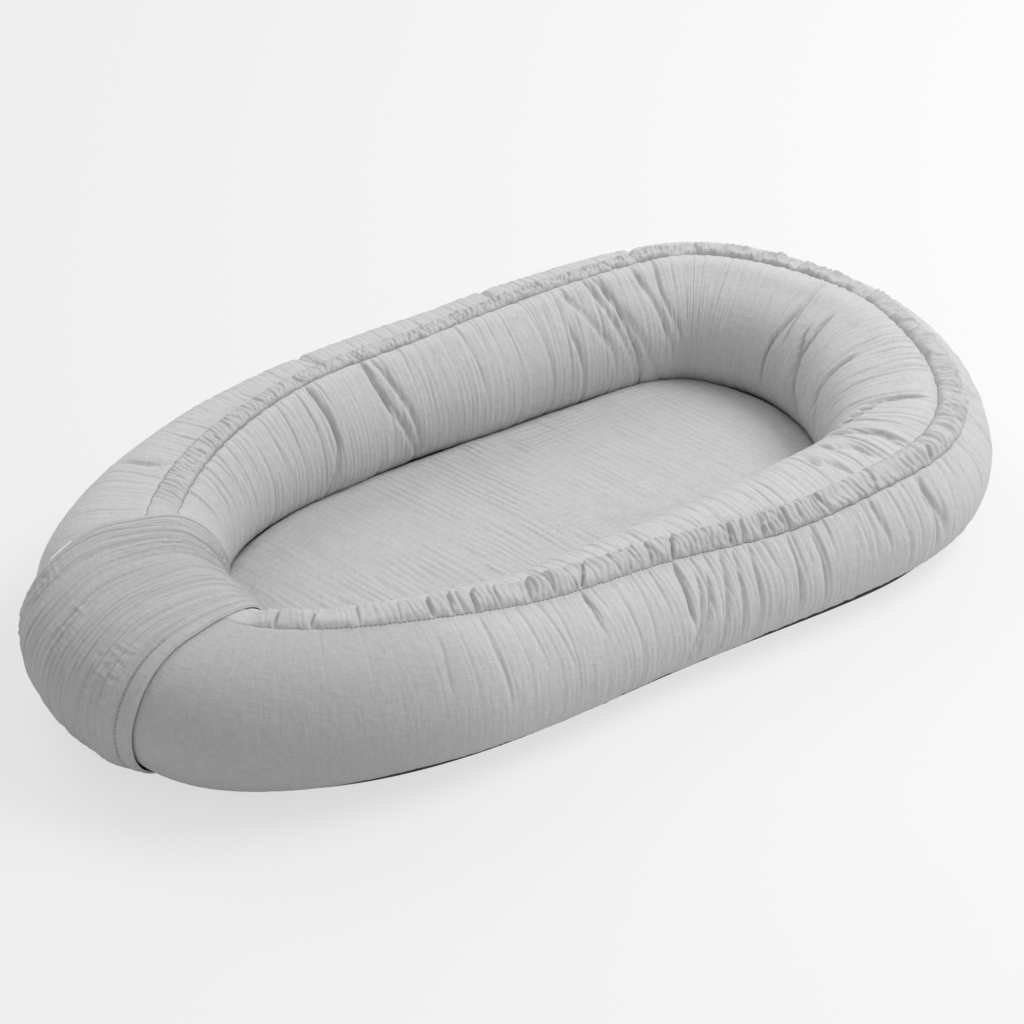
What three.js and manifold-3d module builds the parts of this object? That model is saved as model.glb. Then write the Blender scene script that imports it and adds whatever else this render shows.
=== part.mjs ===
// Infant lounger: a padded base, a flat mattress that lies loose on it, and one long soft roll
// bent into a ring round the mattress. The two ends of the roll meet at the foot end, where a
// wrap covers them. A drawcord runs round the ring in a gathered casing along the crest.
// Millimetres. +X points to the head end, +Z up, origin on the floor under the middle.
import * as THREE from 'three';
import { mergeVertices } from 'three/addons/utils/BufferGeometryUtils.js';
import Module from 'manifold-3d';

const wasm = await Module();
wasm.setup();

// The ring seen from above. The outline shares are pull points of a smooth closed curve,
// counted from the head end, as shares of the half length and the half width.
const ring_half_length = 375;
const ring_half_width = 187;
const ring_outline_shares = [
  [1.077, 0.01], [0.861, 0.888], [0.611, 0.963], [0.029, 1.021], [-0.576, 0.957], [-0.97, 0.286],
  [-0.973, -0.289], [-0.885, -0.784], [-0.44, -1.025], [0.078, -0.951], [0.589, -0.979], [0.886, -0.92],
];

// The roll's section, which swells and thins along the ring: eight shares from the head end
const roll_half_width = 70;
const roll_height = 120;
const half_width_shares = [1.09, 0.94, 0.94, 0.906, 1.14, 0.955, 0.952, 1.04];
const height_shares = [1.07, 1.08, 1, 0.993, 1.065, 1.053, 0.867, 0.95];
const side_power_share = 0.85;
const under_power_share = 0.8;

// Cloth, stuffing and the clearances between them
const cloth_thickness = 1.6;
const seat_gap = 0.3;
const base_thickness = 2.4;
const base_reach_share = 0.5;
const base_rest_share = 0.15;
const panel_lift = 0.4;
const panel_edge_angle = THREE.MathUtils.degToRad(78);
const panel_points = 8;

// Gathers drawn into the roll's cover: [place along the ring, side (-1 in, 1 out), depth share]
const crease_depth = 11;
const crease_half_width = 15;
const crease_reach_share = 1.6;
const lip_rise_share = 0.12;
const crease_shares = [
  [0.045, -1, 0.5], [0.098, -1, 0.5], [0.126, -1, 1], [0.164, -1, 0.8], [0.215, -1, 0.35],
  [0.274, -1, 1], [0.311, -1, 0.8], [0.37, -1, 0.4], [0.945, -1, 0.7], [0.975, -1, 0.8],
  [0.2, 1, 0.4], [0.405, 1, 0.4], [0.665, 1, 0.3], [0.705, 1, 0.45], [0.748, 1, 1],
  [0.795, 1, 0.5], [0.845, 1, 0.5], [0.9, 1, 0.6],
];
const step_most = 66;
const step_least = 12;
const turn_most = THREE.MathUtils.degToRad(9.5);
const lips_from_share = 0.6;

// The roll's ends, drawn in under the wrap and closed by bulging end panels
const end_half_gap = 13;
const end_draw = 14;
const end_draw_length = 84;
const casing_start = 34;
const end_stations = [0, 6, casing_start - end_half_gap, 40, 62];
const end_bulge_gap = 0.4;
const dome_rings = 3;

// Casing along the crest, which it crosses and leaves (sixteen shares of the half width), and the
// drawcord in it
const casing_width = 25;
const casing_shares = [
  0.393, 0.239, 0.121, 0.129, 0.043, 0.014, -0.193, -0.386,
  -0.49, -0.407, -0.214, -0.014, 0.05, 0.329, 0.371, 0.543,
];
const casing_sink = 4.5;
const casing_wall = 0.8;
const casing_side_rise = 4.4;
const casing_rise = 7.6;
const casing_edge_gap = 0.4;
const ruffle_rise = 1.2;
const ruffle_fade = 50;
const cord_diameter = 3.6;
const cord_clearance = 0.4;
const cord_sides = 8;
const cord_tail = 12;

// Cord lock in the notch between the roll's ends
const lock_depth = 10;
const lock_diameter = 15;
const lock_length = 22;
const lock_wall = 1.5;
const plunger_clearance = 0.3;
const plunger_travel = 3;
const plunger_head = 6;
const plunger_foot = 2;
const spring_length = 7;
const spring_turns = 5;
const spring_wire = 0.8;
const spring_steps = 8;
const wire_sides = 5;
const round_sides = 24;
const cut_overrun = 1;

// Wrap over the joint of the roll: places along the ring as shares of it
const wrap_thickness = 2;
const wrap_clearance = 3.5;
const wrap_outer_shares = [0.471, 0.54];
const wrap_inner_shares = [0.43, 0.56];
const wrap_columns = 18;
const wrap_rows = 8;
const wrap_fold_rise = 0.5;
const wrap_under_angle = THREE.MathUtils.degToRad(-64);
const hinge_inset = 43;
const wrap_end_angle = THREE.MathUtils.degToRad(193);
const wrap_end_rows = 4;
const search_halvings = 40;

// Blank tape label sewn under the wrap's far edge
const label_thickness = 0.6;
const label_lift = 0.6;
const label_out = 7;
const label_under = 3;
const label_shares = [0.24, 0.36];
const label_rows = 4;

// Mattress
const mattress_margin = 7;
const mattress_side_height = 23;
const mattress_crown = 6;
const mattress_edge_radius = 5;
const mattress_points = 40;
const mattress_cloth = 1.2;
const cover_slit_length = 190;
const cover_slit_width = 12;
const cover_slit_place_share = 0.45;
const crown_shares = [[0.8, 0.6], [0.5, 0.92]];

const up = new THREE.Vector3(0, 0, 1);
const ring_samples = 2400;

// A closed smooth curve pulled towards its points, with an even spread of the parameter
function pulled(points, share) {
  const place = (share - Math.floor(share)) * points.length;
  const first = Math.floor(place);
  const f = place - first;
  const pulls = [(1 - f) ** 3 / 6, (3 * f ** 3 - 6 * f ** 2 + 4) / 6,
    (-3 * f ** 3 + 3 * f ** 2 + 3 * f + 1) / 6, f ** 3 / 6];
  const sum = [0, 0];
  pulls.forEach((pull, k) => {
    const point = points[(first + k - 1 + points.length) % points.length];
    sum[0] += pull * point[0] * ring_half_length;
    sum[1] += pull * point[1] * ring_half_width;
  });
  return new THREE.Vector3(sum[0], sum[1], 0);
}

// The ring's middle line, measured along its length
function measureRing() {
  const places = [pulled(ring_outline_shares, 0)];
  const run = [0];
  for (let i = 1; i <= ring_samples; i++) {
    places.push(pulled(ring_outline_shares, i / ring_samples));
    run.push(run[i - 1] + places[i].distanceTo(places[i - 1]));
  }
  return { run, length: run[ring_samples] };
}
const ring = measureRing();

function shareAtLength(length) {
  const target = ((length % ring.length) + ring.length) % ring.length;
  let low = 0;
  let high = ring_samples;
  while (high - low > 1) {
    const mid = (low + high) >> 1;
    if (ring.run[mid] <= target) low = mid;
    else high = mid;
  }
  return (low + (target - ring.run[low]) / (ring.run[high] - ring.run[low])) / ring_samples;
}

// A value that passes through equally spaced shares round the ring
function roundTheRing(shares, place) {
  const x = (place - Math.floor(place)) * shares.length;
  const i = Math.floor(x);
  const f = x - i;
  const at = (k) => shares[(i + k + shares.length) % shares.length];
  const [a, b, c, d] = [at(-1), at(0), at(1), at(2)];
  const bend = 2 * a - 5 * b + 4 * c - d;
  const twist = 3 * b - a - 3 * c + d;
  return 0.5 * (2 * b + (c - a) * f + bend * f ** 2 + twist * f ** 3);
}

// Middle point, direction along the ring, direction outwards, and the section's size
function frameAt(place) {
  const share = shareAtLength(place * ring.length);
  const nudge = 1 / ring_samples;
  const middle = pulled(ring_outline_shares, share);
  const along = pulled(ring_outline_shares, share + nudge)
    .sub(pulled(ring_outline_shares, share - nudge + 1)).normalize();
  return {
    middle, along,
    outward: new THREE.Vector3(along.y, -along.x, 0),
    half: roll_half_width * roundTheRing(half_width_shares, place),
    height: roll_height * roundTheRing(height_shares, place),
    casing: roll_half_width * roundTheRing(casing_shares, place),
  };
}

// How far a place lies from the joint at the foot, along the ring
function fromJoint(place) {
  return Math.abs(place - Math.floor(place) - 0.5) * ring.length;
}

function drawnIn(place) {
  const run = Math.min(1, Math.max(0, fromJoint(place) - end_half_gap) / end_draw_length);
  return end_draw * (1 - run) ** 2;
}

// Depth of the gathers at a place and an angle of the section (0 outwards, a quarter turn up)
function gatherDepth(place, angle) {
  let depth = 0;
  for (const [at, side, share] of crease_shares) {
    const gap = Math.abs(place - Math.floor(place) - at) * ring.length / crease_half_width;
    if (gap > 2) continue;
    const past = side * Math.cos(angle) - Math.max(0, side * Math.cos(seamAngle(place, side)));
    const reach = Math.min(1, Math.max(0, crease_reach_share * past));
    const valley = Math.max(0, 1 - gap);
    const lip = lip_rise_share * (1 - Math.abs(1 - gap));
    depth += crease_depth * share * reach * (valley - lip);
  }
  return depth;
}

// A point of the roll's section, lifted off the smooth skin by lift
function smoothSkin(place, angle, lift = 0) {
  const at = frameAt(place);
  const low = base_thickness + panel_lift;
  const middle = (low + at.height) / 2;
  const cosine = Math.cos(angle);
  const sine = Math.sin(angle);
  const out = (at.half + lift) * Math.sign(cosine) * Math.abs(cosine) ** side_power_share;
  const rise = sine >= 0
    ? (at.height + lift - middle) * sine
    : (low - lift - middle) * Math.abs(sine) ** under_power_share;
  return at.middle.clone().addScaledVector(at.outward, out).addScaledVector(up, middle + rise);
}

function skin(place, angle, lift = 0) {
  return smoothSkin(place, angle, lift - drawnIn(place) - gatherDepth(place, angle));
}

// The angle at which the section lies a given way out from the ring's middle line
function angleAtOffset(place, offset) {
  const share = Math.min(1, Math.abs(offset) / frameAt(place).half);
  const angle = Math.acos(share ** (1 / side_power_share));
  return offset >= 0 ? angle : Math.PI - angle;
}

function spread(first, last, count) {
  return Array.from({ length: count }, (_, i) => first + (last - first) * i / (count - 1));
}

// Places along the ring where the sections stand: the roll's ends, each gather, and even fill
function stationsAlong() {
  const start = 0.5 + end_half_gap / ring.length;
  const span = 1 - 2 * end_half_gap / ring.length;
  const least = step_least / ring.length;
  const places = [];
  for (const run of end_stations) {
    places.push(start + run / ring.length, start + span - run / ring.length);
  }
  const add = (place) => {
    const turned = place < start ? place + 1 : place;
    if (places.every((other) => Math.abs(other - turned) > least)) places.push(turned);
  };
  crease_shares.forEach(([at]) => add(at));
  const strong = crease_shares.filter(([, , share]) => share >= lips_from_share);
  strong.forEach(([at]) => [-1, 1].forEach((side) => add(at + side * crease_half_width / ring.length)));
  places.sort((a, b) => a - b);
  const filled = [places[0]];
  for (let i = 1; i < places.length; i++) {
    const turn = frameAt(places[i]).along.angleTo(frameAt(places[i - 1]).along);
    const run = (places[i] - places[i - 1]) * ring.length;
    const parts = Math.max(Math.ceil(run / step_most), Math.ceil(turn / turn_most));
    for (let k = 1; k <= parts; k++) {
      filled.push(places[i - 1] + (places[i] - places[i - 1]) * k / parts);
    }
  }
  return filled;
}
const stations = stationsAlong();

// A mesh from points and triangles, with its faces turned outwards
function closedMesh(points, triangles) {
  const geometry = new THREE.BufferGeometry();
  const flat = points.flatMap((p) => [p.x, p.y, p.z]);
  let volume = 0;
  for (const [a, b, c] of triangles) {
    volume += points[a].dot(new THREE.Vector3().crossVectors(points[b], points[c]));
  }
  const faces = volume > 0 ? triangles : triangles.map(([a, b, c]) => [a, c, b]);
  geometry.setAttribute('position', new THREE.Float32BufferAttribute(flat, 3));
  geometry.setIndex(faces.flat());
  geometry.computeVertexNormals();
  return geometry;
}

// A thick sheet between two grids of points of the same size
function sheet(top, under) {
  const rows = top.length;
  const columns = top[0].length;
  const points = [...top.flat(), ...under.flat()];
  const at = (layer, i, j) => layer * rows * columns + i * columns + j;
  const faces = [];
  const quad = (a, b, c, d) => faces.push([a, b, c], [a, c, d]);
  const side = columns - 1;
  for (let i = 0; i < rows - 1; i++) {
    for (let j = 0; j < columns - 1; j++) {
      quad(at(0, i, j), at(0, i + 1, j), at(0, i + 1, j + 1), at(0, i, j + 1));
      quad(at(1, i, j), at(1, i, j + 1), at(1, i + 1, j + 1), at(1, i + 1, j));
    }
  }
  for (let i = 0; i < rows - 1; i++) {
    quad(at(0, i, 0), at(1, i, 0), at(1, i + 1, 0), at(0, i + 1, 0));
    quad(at(0, i + 1, side), at(1, i + 1, side), at(1, i, side), at(0, i, side));
  }
  for (let j = 0; j < columns - 1; j++) {
    quad(at(0, 0, j + 1), at(1, 0, j + 1), at(1, 0, j), at(0, 0, j));
    quad(at(0, rows - 1, j), at(1, rows - 1, j), at(1, rows - 1, j + 1), at(0, rows - 1, j + 1));
  }
  return closedMesh(points, faces);
}

function middleOf(points) {
  return points.reduce((sum, p) => sum.add(p), new THREE.Vector3()).divideScalar(points.length);
}

// A solid through rings of equal count. Each end closes on its middle point or a given one.
function loft(rings, startPoint, endPoint) {
  const count = rings[0].length;
  const points = rings.flat();
  const faces = [];
  for (let i = 0; i < rings.length - 1; i++) {
    for (let j = 0; j < count; j++) {
      const a = i * count + j;
      const b = i * count + (j + 1) % count;
      faces.push([a, b, b + count], [a, b + count, a + count]);
    }
  }
  const last = (rings.length - 1) * count;
  points.push(startPoint ?? middleOf(rings[0]), endPoint ?? middleOf(rings.at(-1)));
  for (let j = 0; j < count; j++) {
    faces.push([points.length - 2, (j + 1) % count, j]);
    faces.push([points.length - 1, last + j, last + (j + 1) % count]);
  }
  return closedMesh(points, faces);
}

function toSolid(geometry) {
  const bare = geometry.clone();
  bare.deleteAttribute('normal');
  if (bare.getAttribute('uv')) bare.deleteAttribute('uv');
  const merged = mergeVertices(bare);
  return new wasm.Manifold(new wasm.Mesh({
    numProp: 3,
    vertProperties: new Float32Array(merged.getAttribute('position').array),
    triVerts: new Uint32Array(merged.index.array),
  }));
}

function fromSolid(solid) {
  const mesh = solid.getMesh();
  const geometry = new THREE.BufferGeometry();
  geometry.setAttribute('position', new THREE.Float32BufferAttribute(mesh.vertProperties, 3));
  geometry.setIndex(Array.from(mesh.triVerts));
  geometry.computeVertexNormals();
  return geometry;
}

// Casing seams as angles of the section
function seamAngle(place, side, gap = 0) {
  return angleAtOffset(place, frameAt(place).casing + side * (casing_width / 2 - gap));
}

// Angles of a cover panel from its casing seam down to its bottom edge
function panelAngles(place, side) {
  const bottom = side > 0 ? -panel_edge_angle : Math.PI + panel_edge_angle;
  return spread(seamAngle(place, side), bottom, panel_points);
}

function panelRow(place, side, lift) {
  return panelAngles(place, side).map((angle, j) => skin(place, angle, lift - (j === 0 ? casing_sink : 0)));
}

function coverPanel(side) {
  const inOrder = (row) => (side > 0 ? row : row.reverse());
  const top = stations.map((place) => inOrder(panelRow(place, side, 0)));
  const under = stations.map((place) => inOrder(panelRow(place, side, -cloth_thickness)));
  return sheet(top, under);
}

// The whole section: outer side down, across the bottom, inner side up
function sectionRing(place, lift) {
  const at = frameAt(place);
  const floor = base_thickness + seat_gap + drawnIn(place) - (lift + cloth_thickness + seat_gap);
  const bottom = [1, -1].map((side) => at.middle.clone()
    .addScaledVector(at.outward, side * at.half * base_rest_share).setZ(floor));
  return [...panelRow(place, 1, lift), ...bottom, ...panelRow(place, -1, lift).reverse()];
}

// Rings of a dome that bulges from a rim towards the joint and stays short of it, and its tip
function dome(rim, direction, short) {
  const joint = frameAt(0.5);
  const middle = middleOf(rim);
  const bulged = (p, turn) => {
    const room = joint.middle.clone().sub(p).dot(joint.along) / direction.dot(joint.along);
    return p.addScaledVector(direction, (room - short) * Math.sin(turn));
  };
  const rings = [];
  for (let k = 1; k < dome_rings; k++) {
    const turn = k / dome_rings * Math.PI / 2;
    rings.push(rim.map((p) => bulged(middle.clone().lerp(p, Math.cos(turn)), turn)));
  }
  return { rings, tip: bulged(middle, Math.PI / 2) };
}

function bolsterFilling() {
  const inset = -cloth_thickness - seat_gap;
  const rings = stations.map((place) => sectionRing(place, inset));
  const short = end_bulge_gap + cloth_thickness + seat_gap;
  const near = dome(rings[0], frameAt(stations[0]).along.negate(), short);
  const far = dome(rings.at(-1), frameAt(stations.at(-1)).along, short);
  return loft([...near.rings.reverse(), ...rings, ...far.rings], near.tip, far.tip);
}

// Round end panel of the roll: a cloth dome on the roll's end
function endPanel(place, sign) {
  const direction = frameAt(place).along.multiplyScalar(sign);
  const move = (ringPoints) => ringPoints.map((p) => p.addScaledVector(direction, seat_gap));
  const outer = move(sectionRing(place, 0));
  const inner = move(sectionRing(place, -cloth_thickness));
  const outerDome = dome(outer, direction, end_bulge_gap);
  const innerDome = dome(inner, direction, end_bulge_gap + cloth_thickness);
  const rings = [...innerDome.rings.reverse(), inner, outer, ...outerDome.rings];
  if (sign < 0) return loft(rings, innerDome.tip, outerDome.tip);
  return loft(rings.reverse(), outerDome.tip, innerDome.tip);
}

// Casing sections lie on the stations and halfway between them
function casingPlaces() {
  const from = stations.findIndex((place) => fromJoint(place) > casing_start - seat_gap);
  const inside = stations.slice(from, stations.length - from);
  const halfway = inside.slice(1).map((place, i) => ({ first: inside[i], second: place }));
  const onStation = inside.map((place) => ({ first: place, second: place }));
  return onStation.flatMap((at, i) => (i === 0 ? [at] : [halfway[i - 1], at]));
}

// Local axes of the casing's floor: across it and straight up off it
function casingFloor(place) {
  const lift = seat_gap - casing_sink - cloth_thickness;
  const out = skin(place, seamAngle(place, 1, casing_edge_gap), lift);
  const inn = skin(place, seamAngle(place, -1, casing_edge_gap), lift);
  return { out, inn };
}

function casingFrame({ first, second }) {
  const a = casingFloor(first);
  const b = casingFloor(second);
  const out = a.out.lerp(b.out, 0.5);
  const inn = a.inn.lerp(b.inn, 0.5);
  const place = (first + second) / 2;
  const across = out.clone().sub(inn).divideScalar(2);
  const rise = new THREE.Vector3().crossVectors(across, frameAt(place).along).normalize();
  if (rise.z < 0) rise.negate();
  return { middle: out.clone().add(inn).divideScalar(2), across, rise, place };
}

function casingPoint(at, share, height) {
  return at.middle.clone().addScaledVector(at.across, share).addScaledVector(at.rise, height);
}

const bore_top = casing_wall + cord_diameter + 2 * cord_clearance;
const casing_outline_shares = [1, 1, 0, -1, -1];
const casing_bore_shares = [0.62, 0.45, -0.45, -0.62];

function casingOutline(at, index) {
  const fade = Math.min(1, Math.max(0, fromJoint(at.place) - wrapReach()) / ruffle_fade);
  const pucker = ruffle_rise * fade * (index % 2 === 0 ? 1 : -1);
  const heights = [0, casing_side_rise + pucker, casing_rise + pucker, casing_side_rise - pucker, 0];
  return heights.map((height, k) => [casing_outline_shares[k], height]);
}

function casingBore() {
  const heights = [casing_wall, bore_top, bore_top, casing_wall];
  return heights.map((height, k) => [casing_bore_shares[k], height]);
}

function wrapReach() {
  return Math.max(...wrap_inner_shares.map((place) => fromJoint(place)));
}

// A tunnel: an outer tube, the bore in it, and a flat ring of cloth at each mouth
function drawstringCasing() {
  const frames = casingPlaces().map(casingFrame);
  const outer = frames.map((at, i) => casingOutline(at, i));
  const bore = casingBore();
  const section = (i) => [...outer[i], ...bore];
  const points = frames.flatMap((at, i) => section(i).map(([share, rise]) => casingPoint(at, share, rise)));
  const count = outer[0].length + bore.length;
  const faces = [];
  const wall = (start, length, flip) => {
    for (let i = 0; i < frames.length - 1; i++) {
      for (let j = 0; j < length; j++) {
        const a = i * count + start + j;
        const b = i * count + start + (j + 1) % length;
        const pair = [[a, b, b + count], [a, b + count, a + count]];
        faces.push(...pair.map((face) => (flip ? face.reverse() : face)));
      }
    }
  };
  wall(0, outer[0].length, false);
  wall(outer[0].length, bore.length, true);
  for (const [end, flip] of [[0, true], [frames.length - 1, false]]) {
    const width = frames[end].across.length();
    const flat = (list) => list.map(([share, height]) => new THREE.Vector2(share * width, height));
    const mouth = THREE.ShapeUtils.triangulateShape(flat(outer[end]), [flat(bore)]);
    for (const face of mouth) {
      const ids = face.map((k) => end * count + k);
      faces.push(flip ? ids.reverse() : ids);
    }
  }
  return closedMesh(points, faces);
}

// Axes of the cord lock: along the ring, down the slope of the section, and off it
function lockAxes() {
  const angle = angleAtOffset(0.5, frameAt(0.5).casing);
  const nudge = 1 / ring_samples;
  const slope = smoothSkin(0.5, angle + nudge).sub(smoothSkin(0.5, angle - nudge)).normalize();
  const along = frameAt(0.5).along;
  const off = new THREE.Vector3().crossVectors(along, slope).normalize();
  if (off.z < 0) off.negate();
  return { middle: smoothSkin(0.5, angle).addScaledVector(off, -lock_depth), along, slope, off };
}

// A tube of round section through a list of points
function cordTube(route) {
  const rings = route.map((point, i) => {
    const before = route[Math.max(0, i - 1)];
    const after = route[Math.min(route.length - 1, i + 1)];
    const along = after.clone().sub(before).normalize();
    const side = new THREE.Vector3().crossVectors(along, up).normalize();
    const top = new THREE.Vector3().crossVectors(side, along);
    return Array.from({ length: cord_sides }, (_, k) => {
      const turn = (k + 0.5) / cord_sides * 2 * Math.PI;
      return point.clone().addScaledVector(side, cord_diameter / 2 * Math.cos(turn))
        .addScaledVector(top, cord_diameter / 2 * Math.sin(turn));
    });
  });
  return loft(rings);
}

function drawcord() {
  const lock = lockAxes();
  const frames = casingPlaces().map(casingFrame).filter((_, i) => i % 2 === 0);
  const tunnel = frames.map((at) => casingPoint(at, 0, (casing_wall + bore_top) / 2));
  const apart = (cord_diameter + cord_clearance) / 2;
  const strand = (run, side) => lock.middle.clone().addScaledVector(lock.along, run)
    .addScaledVector(lock.slope, side * apart);
  const clear = lock_diameter / 2 + cord_diameter / 2;
  const tail = lock_diameter / 2 + cord_tail;
  const start = [strand(-tail, 1), strand(-clear, 1), strand(clear, 1)];
  const end = [strand(-clear, -1), strand(clear, -1), strand(tail, -1)];
  return cordTube([...start, ...tunnel, ...end]);
}

// Named runs along the cord lock, from its closed end to the plunger's head
const spring_start = lock_wall + seat_gap;
const plunger_start = spring_start + spring_length + seat_gap;
const hole_length = 2 * cord_diameter + 3 * cord_clearance + plunger_travel;
const barrel_hole_start = plunger_start - plunger_travel + plunger_foot;
const plunger_hole_start = plunger_start + plunger_foot;
const cord_place = (plunger_hole_start + barrel_hole_start + hole_length) / 2;
const bore_radius = lock_diameter / 2 - lock_wall;
const plunger_radius = bore_radius - plunger_clearance;

// A turned shape along its own axis, as a solid
function turned(profile) {
  const points = profile.map(([radius, run]) => new THREE.Vector2(radius, run));
  return toSolid(new THREE.LatheGeometry(points, round_sides).rotateX(Math.PI / 2));
}

function crossHole(start) {
  const height = cord_diameter + 2 * cord_clearance;
  const box = new THREE.BoxGeometry(lock_diameter + 2 * cut_overrun, height, hole_length);
  return toSolid(box.translate(0, 0, start + hole_length / 2));
}

// Sets a lock piece, made along +Z from its closed end, into its place between the roll's ends
function seatLock(mesh) {
  const lock = lockAxes();
  const side = new THREE.Vector3().crossVectors(lock.slope, lock.along);
  const turn = new THREE.Matrix4().makeBasis(lock.along, side, lock.slope);
  mesh.quaternion.setFromRotationMatrix(turn);
  mesh.position.copy(lock.middle).addScaledVector(lock.slope, -cord_place);
  return mesh;
}

function lockBarrel() {
  const outer = lock_diameter / 2;
  const cup = turned([[0, 0], [outer, 0], [outer, lock_length], [bore_radius, lock_length],
    [bore_radius, lock_wall], [0, lock_wall]]);
  return fromSolid(cup.subtract(crossHole(barrel_hole_start)));
}

function lockPlunger() {
  const top = lock_length + plunger_head;
  const rod = turned([[0, plunger_start], [plunger_radius, plunger_start], [plunger_radius, top], [0, top]]);
  return fromSolid(rod.subtract(crossHole(plunger_hole_start)));
}

class SpringLine extends THREE.Curve {
  getPoint(share, target = new THREE.Vector3()) {
    const turn = share * spring_turns * 2 * Math.PI;
    const radius = plunger_radius - spring_wire;
    const rise = spring_start + spring_wire / 2 + share * (spring_length - spring_wire);
    return target.set(radius * Math.cos(turn), radius * Math.sin(turn), rise);
  }
}

function lockSpring() {
  const wire = new THREE.Shape();
  for (let k = 0; k < wire_sides; k++) {
    const turn = k / wire_sides * 2 * Math.PI;
    const at = [spring_wire / 2 * Math.cos(turn), spring_wire / 2 * Math.sin(turn)];
    if (k === 0) wire.moveTo(...at);
    else wire.lineTo(...at);
  }
  wire.closePath();
  const steps = spring_turns * spring_steps;
  return new THREE.ExtrudeGeometry(wire, { steps, bevelEnabled: false, extrudePath: new SpringLine() });
}

// The wrap's edge as a place along the ring: it narrows from the inner side to the outer side
function wrapPlace(columnShare, angle) {
  const inner = (1 - Math.cos(Math.min(Math.max(angle, 0), Math.PI))) / 2;
  const edge = wrap_outer_shares.map((outer, k) => outer + (wrap_inner_shares[k] - outer) * inner);
  return edge[0] + (edge[1] - edge[0]) * columnShare;
}

function wrapPoint(column, angle, lift) {
  const place = wrapPlace(column / wrap_columns, angle);
  const fold = wrap_fold_rise * (column % 2 === 0 ? 1 : 0);
  return smoothSkin(place, angle, wrap_clearance + fold + lift);
}

// The straight line along which the wrap's loose end folds back
const hinge_x = frameAt(0.5).middle.x + hinge_inset;

function angleAtHinge(column, lift, x) {
  let low = 0;
  let high = Math.PI;
  for (let i = 0; i < search_halvings; i++) {
    const mid = (low + high) / 2;
    if (wrapPoint(column, mid, lift).x < x) low = mid;
    else high = mid;
  }
  return (low + high) / 2;
}

function wrapGrid(lift, anglesOf) {
  const columns = spread(0, wrap_columns, wrap_columns + 1);
  return columns.map((column) => anglesOf(column, lift).map((angle) => wrapPoint(column, angle, lift)));
}

function footWrap() {
  const atHinge = (column, lift) => angleAtHinge(column, lift, hinge_x - seat_gap);
  const angles = (column, lift) => spread(wrap_under_angle, atHinge(column, lift), wrap_rows);
  return sheet(wrapGrid(wrap_thickness, angles), wrapGrid(0, angles));
}

function footWrapEnd() {
  const atHinge = (column, lift) => angleAtHinge(column, lift, hinge_x + seat_gap);
  const angles = (column, lift) => spread(atHinge(column, lift), wrap_end_angle, wrap_end_rows);
  return sheet(wrapGrid(wrap_thickness, angles), wrapGrid(0, angles));
}

// Tape folded flat on the cover, its inner end under the wrap's far edge
function sideLabel() {
  const angles = spread(label_shares[0] * Math.PI, label_shares[1] * Math.PI, label_rows);
  const grid = (lift) => angles.map((angle) => [-label_out, 0, label_under].map((run) =>
    smoothSkin(wrapPlace(0, angle) + run / ring.length, angle, label_lift + lift)));
  return sheet(grid(label_thickness), grid(0));
}

// Base panel: a flat sheet out to where the roll meets the floor
function basePanel() {
  const outline = stations.map((place) => {
    const at = frameAt(place);
    return at.middle.addScaledVector(at.outward, at.half * base_reach_share);
  });
  const level = (z) => outline.map((p) => p.clone().setZ(z));
  return loft([level(0), level(base_thickness)]);
}

// Outline of the mattress just inside the roll, drawn in by inset
function mattressOutline(inset, z) {
  return spread(0, 1, mattress_points + 1).slice(1).map((place) => {
    const at = frameAt(place);
    return at.middle.addScaledVector(at.outward, -(at.half + mattress_margin + inset)).setZ(z);
  });
}

// A pad with rounded sides and a crowned top, drawn in all over by inset
function pad(inset) {
  const floor = base_thickness + seat_gap + inset;
  const shoulder = base_thickness + seat_gap + mattress_side_height - inset;
  const soft = mattress_edge_radius;
  const rings = [
    mattressOutline(inset + soft, floor),
    mattressOutline(inset, floor + soft),
    mattressOutline(inset, shoulder - soft),
    mattressOutline(inset + soft, shoulder),
  ];
  const rim = mattressOutline(inset + soft, shoulder);
  for (const [share, rise] of crown_shares) {
    rings.push(rim.map((p) => new THREE.Vector3(p.x * share, p.y * share, shoulder + mattress_crown * rise)));
  }
  return loft(rings, undefined, new THREE.Vector3(0, 0, shoulder + mattress_crown));
}

function mattressCover() {
  const slit = new THREE.BoxGeometry(cover_slit_width, cover_slit_length, 2 * (mattress_cloth + cut_overrun));
  slit.translate(-ring_half_length * cover_slit_place_share, 0, base_thickness + seat_gap);
  return fromSolid(toSolid(pad(0)).subtract(toSolid(pad(mattress_cloth))).subtract(toSolid(slit)));
}

function mattressCore() {
  return pad(mattress_cloth + seat_gap);
}

// Finishes
function finish(color, roughness, metalness = 0) {
  return new THREE.MeshStandardMaterial({ color, roughness, metalness });
}
const muslin = finish(0xb0b0b0, 0.95);
const muslin_top = finish(0xbababa, 0.95);
const wadding = finish(0xf0efec, 1);
const foam = finish(0xf2efe2, 0.9);
const backing = finish(0x8f8f90, 0.9);
const tape = finish(0xf6f6f4, 0.8);
const cord_grey = finish(0xa3a3a3, 0.85);
const moulded = finish(0x9a9a9a, 0.45);
const steel = finish(0xc4c6c8, 0.3, 1);

const lounger = new THREE.Group();
function add(name, geometry, material, seat = (mesh) => mesh) {
  const mesh = new THREE.Mesh(geometry, material);
  mesh.name = name;
  lounger.add(seat(mesh));
}

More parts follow.
